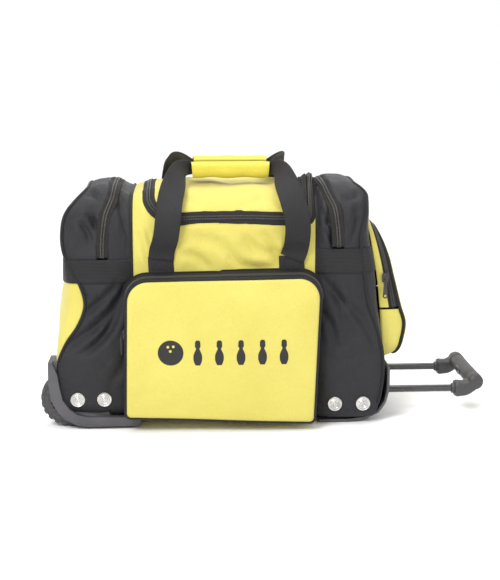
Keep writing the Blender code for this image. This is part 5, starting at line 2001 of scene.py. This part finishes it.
@dataclass
class Trolley:
    """Telescopic handle: enamelled tubes and a moulded grip with rounded end caps."""

    bar: tuple[float, float] = (0.4020, 0.0500)

    def tube(self, node: str, name: str, body: str) -> None:
        """Round tube in place of a CAD tube, with rolled ends."""
        low, high = bag_box(node)
        centre = (low + high) / 2
        radius, half = (high[2] - low[2]) / 2, (high[0] - low[0]) / 2
        profile = [(radius - 0.0010, -half), (radius - 0.0002, -half + 0.0004), (radius, -half + 0.0012),
                   (radius, 0.0), (radius, half - 0.0012), (radius - 0.0002, half - 0.0004),
                   (radius - 0.0010, half)]
        make.piece(name, lathe(profile, centre, "X", 48), Finish.ENAMEL, body, sharp=40.0,
                   stands_for=(node,))

    def build(self) -> None:
        """Makes the tubes, both arms, the bar, its end caps and the release button."""
        for sign, key in SIDES:
            self.tube(f"sleeve_{key}", f"trolley_sleeve_{key}", "bag")
            self.tube(f"middle_tube_{key}", f"trolley_middle_{key}", "middle_stage")
            self.tube(f"inner_tube_{key}", f"trolley_inner_{key}", "trolley_handle")
        x, z = self.bar
        low, high = bag_box("trolley_grip")
        end = (high[1] - low[1]) / 2
        middle = (high[1] + low[1]) / 2
        caps = [(0.0040, -end), (0.0085, -end + 0.0008), (0.0112, -end + 0.0030), (0.0124, -end + 0.0065),
                (0.0127, -end + 0.0120), (0.0127, -end + 0.0238), (0.0120, -end + 0.0244)]
        grip = [(0.0117, -end + 0.0244), (0.0121, -end + 0.0252), (0.0121, -0.030), (0.0119, 0.0)]
        bar = caps + grip + [(r, -h) for r, h in (caps + grip[:-1])[::-1]]
        make.piece("trolley_bar", lathe(bar, (x, middle, z), "Y", 64), Finish.GRIP, "trolley_handle",
                   sharp=30.0,
                   stands_for=("trolley_grip",))
        for sign, key in SIDES:
            y = middle + sign * 0.0702
            stops = [(0.3695, y, 0.0388, 1.0, 0.93), (0.3710, y, 0.0388, 1.05, 1.0),
                     (0.3790, y, 0.0388, 1.06, 1.0),
                     (0.3850, y, 0.0392, 1.02, 0.98), (0.3930, y, 0.0430, 0.97, 0.93),
                     (0.4020, y, 0.0490, 0.92, 0.90)]
            rows = smooth_path(stops, 40)
            angle = np.linspace(0, 2 * math.pi, 48, endpoint=False)
            square = np.stack([np.sign(np.cos(angle)) * np.abs(np.cos(angle)) ** 0.55,
                               np.sign(np.sin(angle)) * np.abs(np.sin(angle)) ** 0.55], 1) * (0.0118, 0.0118)
            arm = sweep(square, rows[:, :3], np.tile([0.0, 1.0, 0.0], (40, 1)), scale=rows[:, 3:5])
            make.piece(f"trolley_arm_{key}", arm, Finish.GRIP, "trolley_handle", sharp=40.0)
            collar = [(0.0056, -0.0030), (0.0076, -0.0026), (0.0080, -0.0010), (0.0080, 0.0040)]
            make.piece(f"trolley_collar_{key}", lathe(collar, (0.3675, y, 0.0390), "X", 40), Finish.GRIP,
                       "trolley_handle", sharp=40.0)
        button_low, button_high = bag_box("release_button")
        make.piece("trolley_button", rounded_block(button_low, button_high, 0, 3.0, 0.4), Finish.SLIDER,
                   "button",
                   stands_for=("release_button",))


class Mouldings:
    """Finishes of the moulded and hidden CAD parts, which keep their own shapes."""

    parts = {
        "wheel_housing_front": (Finish.HOUSING, 0.0016), "wheel_housing_rear": (Finish.HOUSING, 0.0016),
        "corner_plate": (Finish.HOUSING, 0.0012), "tube_bracket": (Finish.HOUSING, 0.0008),
        "axle_front": (Finish.AXLE, 0.0004), "axle_rear": (Finish.AXLE, 0.0004),
        "base_board": (Finish.BOARD, 0.0008),
    }

    def build(self) -> None:
        """Gives each part its finish and softens its edges."""
        for name, (finish, width) in self.parts.items():
            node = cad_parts[name]
            finish.dress(node)
            node.data.shade_smooth()
            weld = node.modifiers.new("weld", "WELD")
            weld.merge_threshold = 0.00002
            bevel = node.modifiers.new("edges", "BEVEL")
            bevel.width = width
            bevel.segments = 3
            bevel.limit_method = "ANGLE"
            bevel.angle_limit = math.radians(32)
            bevel.harden_normals = True
            log.info("%s: %s", name, finish.name.lower())


class Floors:
    """Lined floors of the three compartments, above the handle's sleeves."""

    spans = {"left": (-0.229, -0.1355), "middle": (-0.1305, 0.1415), "right": (0.1465, 0.232)}
    half = 0.1205
    across = 12

    def build(self) -> None:
        """Makes one flat floor in each compartment."""
        for name, (start, end) in self.spans.items():
            x, y = np.meshgrid(np.linspace(start, end, self.across),
                               np.linspace(-self.half, self.half, self.across), indexing="ij")
            sag = 0.0004 * ripple(np.stack([x, y, x], -1), 0.05, 3.0)
            points = np.stack([x, y, FLOOR_TOP + sag], -1)
            faces = grid_faces(self.across, self.across)[:, ::-1]
            board = Patch(points.reshape(-1, 3), faces.tolist(), points[..., :2].reshape(-1, 2))
            make.piece(f"floor_{name}", board, Finish.LINING, wall=0.0014)


@dataclass
class BallCup:
    """Foam ring that the ball sits in."""

    radius: float = 0.104
    floor: float = 0.0585
    ball: float = 0.110
    ball_height: float = 0.176

    def build(self) -> None:
        """Turns the ring's profile: the ball's own curve inside and a rounded rim outside."""
        reach = np.linspace(0.002, 0.0690, 22)
        dish = [(r, self.ball_height - math.sqrt(self.ball**2 - r * r)) for r in reach]
        rim = [(0.0720, 0.0918), (0.0760, 0.0922), (0.0960, 0.0922), (0.1010, 0.0908), (0.1036, 0.0870),
               (self.radius, 0.0820), (self.radius, 0.0620), (0.1030, self.floor + 0.0006),
               (0.1000, self.floor),
               (0.0020, self.floor)]
        low, high = bag_box("ball_cup")
        centre = ((low[0] + high[0]) / 2, (low[1] + high[1]) / 2, 0.0)
        cup = make.piece("ball_ring", lathe([*dish, *rim], centre, "Z", 96), Finish.FOAM, sharp=60.0,
                         stands_for=("ball_cup",))


# ---- camera, floor and light ---------------------------------------------------------------------
@dataclass
class Studio:
    """Camera, pale floor and soft light."""

    target: tuple[float, float, float] = (0.0435, -0.125, 0.21)
    distance: float = 1.9
    yaw: float = 3.0
    elevation: float = 10.75
    lens: float = 78.6

    def camera(self) -> None:
        """Camera in front of the bag, turned a little to its right and looking down on it."""
        yaw, tilt = math.radians(self.yaw), math.radians(self.elevation)
        look = Vector((math.sin(yaw) * math.cos(tilt), math.cos(yaw) * math.cos(tilt), -math.sin(tilt)))
        target = Vector(tuple(np.array(self.target) + SHIFT))
        data = bpy.data.cameras.new("camera")
        data.lens = self.lens
        data.sensor_width = 36.0
        camera = bpy.data.objects.new("camera", data)
        camera.matrix_world = (Matrix.Translation(target - look * self.distance) @
                               look.to_track_quat("-Z", "Y").to_matrix().to_4x4())
        bpy.context.scene.collection.objects.link(camera)
        bpy.context.scene.camera = camera

    def floor(self) -> None:
        """Floor that curves up into a backdrop: a profile of a flat and a quarter circle, carried across."""
        turn = np.linspace(0, math.pi / 2, 16)
        y = np.concatenate([[-4.0], 2.6 + 1.2 * np.sin(turn), [3.8]])
        z = np.concatenate([[0.0], 1.2 * (1 - np.cos(turn)), [5.0]])
        x = np.array([-7.0, 7.0])
        points = np.stack(np.broadcast_arrays(x[None, :], y[:, None], z[:, None] - 0.0005), -1)
        mesh = bpy.data.meshes.new("floor")
        mesh.from_pydata(points.reshape(-1, 3).tolist(), [], grid_faces(len(y), 2)[:, ::-1].tolist())
        mesh.shade_smooth()
        floor = bpy.data.objects.new("floor", mesh)
        bpy.context.scene.collection.objects.link(floor)
        r = Recipe("floor")
        tone = r.blend(r.noise(3.0, 2.0), (0.93, 0.93, 0.93), (0.95, 0.95, 0.95))
        mesh.materials.append(r.finish(Base_Color=tone, Roughness=0.9))
        floor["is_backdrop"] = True

    def light(self, name: str, place: Sequence[float], aim: Sequence[float], size: float,
              power: float) -> None:
        """One soft square light."""
        data = bpy.data.lights.new(name, "AREA")
        data.size = size
        data.energy = power
        lamp = bpy.data.objects.new(name, data)
        lamp.location = place
        lamp.rotation_mode = "QUATERNION"
        lamp.rotation_quaternion = (Vector(aim) - Vector(place)).to_track_quat("-Z", "Y")
        bpy.context.scene.collection.objects.link(lamp)

    def build(self) -> None:
        """Makes the whole studio."""
        self.camera()
        self.floor()
        world = bpy.data.worlds.new("studio")
        world.use_nodes = True
        world.node_tree.nodes["Background"].inputs["Color"].default_value = (1.0, 1.0, 1.0, 1.0)
        world.node_tree.nodes["Background"].inputs["Strength"].default_value = 0.74
        bpy.context.scene.world = world
        bpy.context.scene.view_settings.view_transform = "Standard"
        self.light("key", (-1.2, -2.0, 2.1), (0.0, 0.0, 0.15), 1.1, 66.0)
        self.light("fill", (1.7, -1.8, 1.3), (0.0, 0.0, 0.15), 1.6, 12.0)
        self.light("top", (0.1, 0.4, 2.6), (0.0, 0.0, 0.2), 2.0, 50.0)


def write_sizes() -> None:
    """Gathers the frame's box and the finished model's box."""
    low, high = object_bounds()
    sizes = {"cad": [list(CAD_BOX[0]), list(CAD_BOX[1])], "visual": [list(low), list(high)]}


def main() -> None:
    """Builds the studio and every sub-assembly in order."""
    logging.basicConfig(level=logging.INFO, format="%(message)s")
    Studio().build()
    for part in (Centre(), LEFT_END, RIGHT_END, FrontPocket(), EndPocket(), FRONT_LOOP, REAR_LOOP,
                 HandleWrap(),
                 Sliders(), Rivets(), Wheels(), Trolley(), Mouldings(), Floors(), BallCup()):
        part.build()
        log.info("built %s", type(part).__name__)
    write_sizes()


if __name__ == "__main__":
    main()
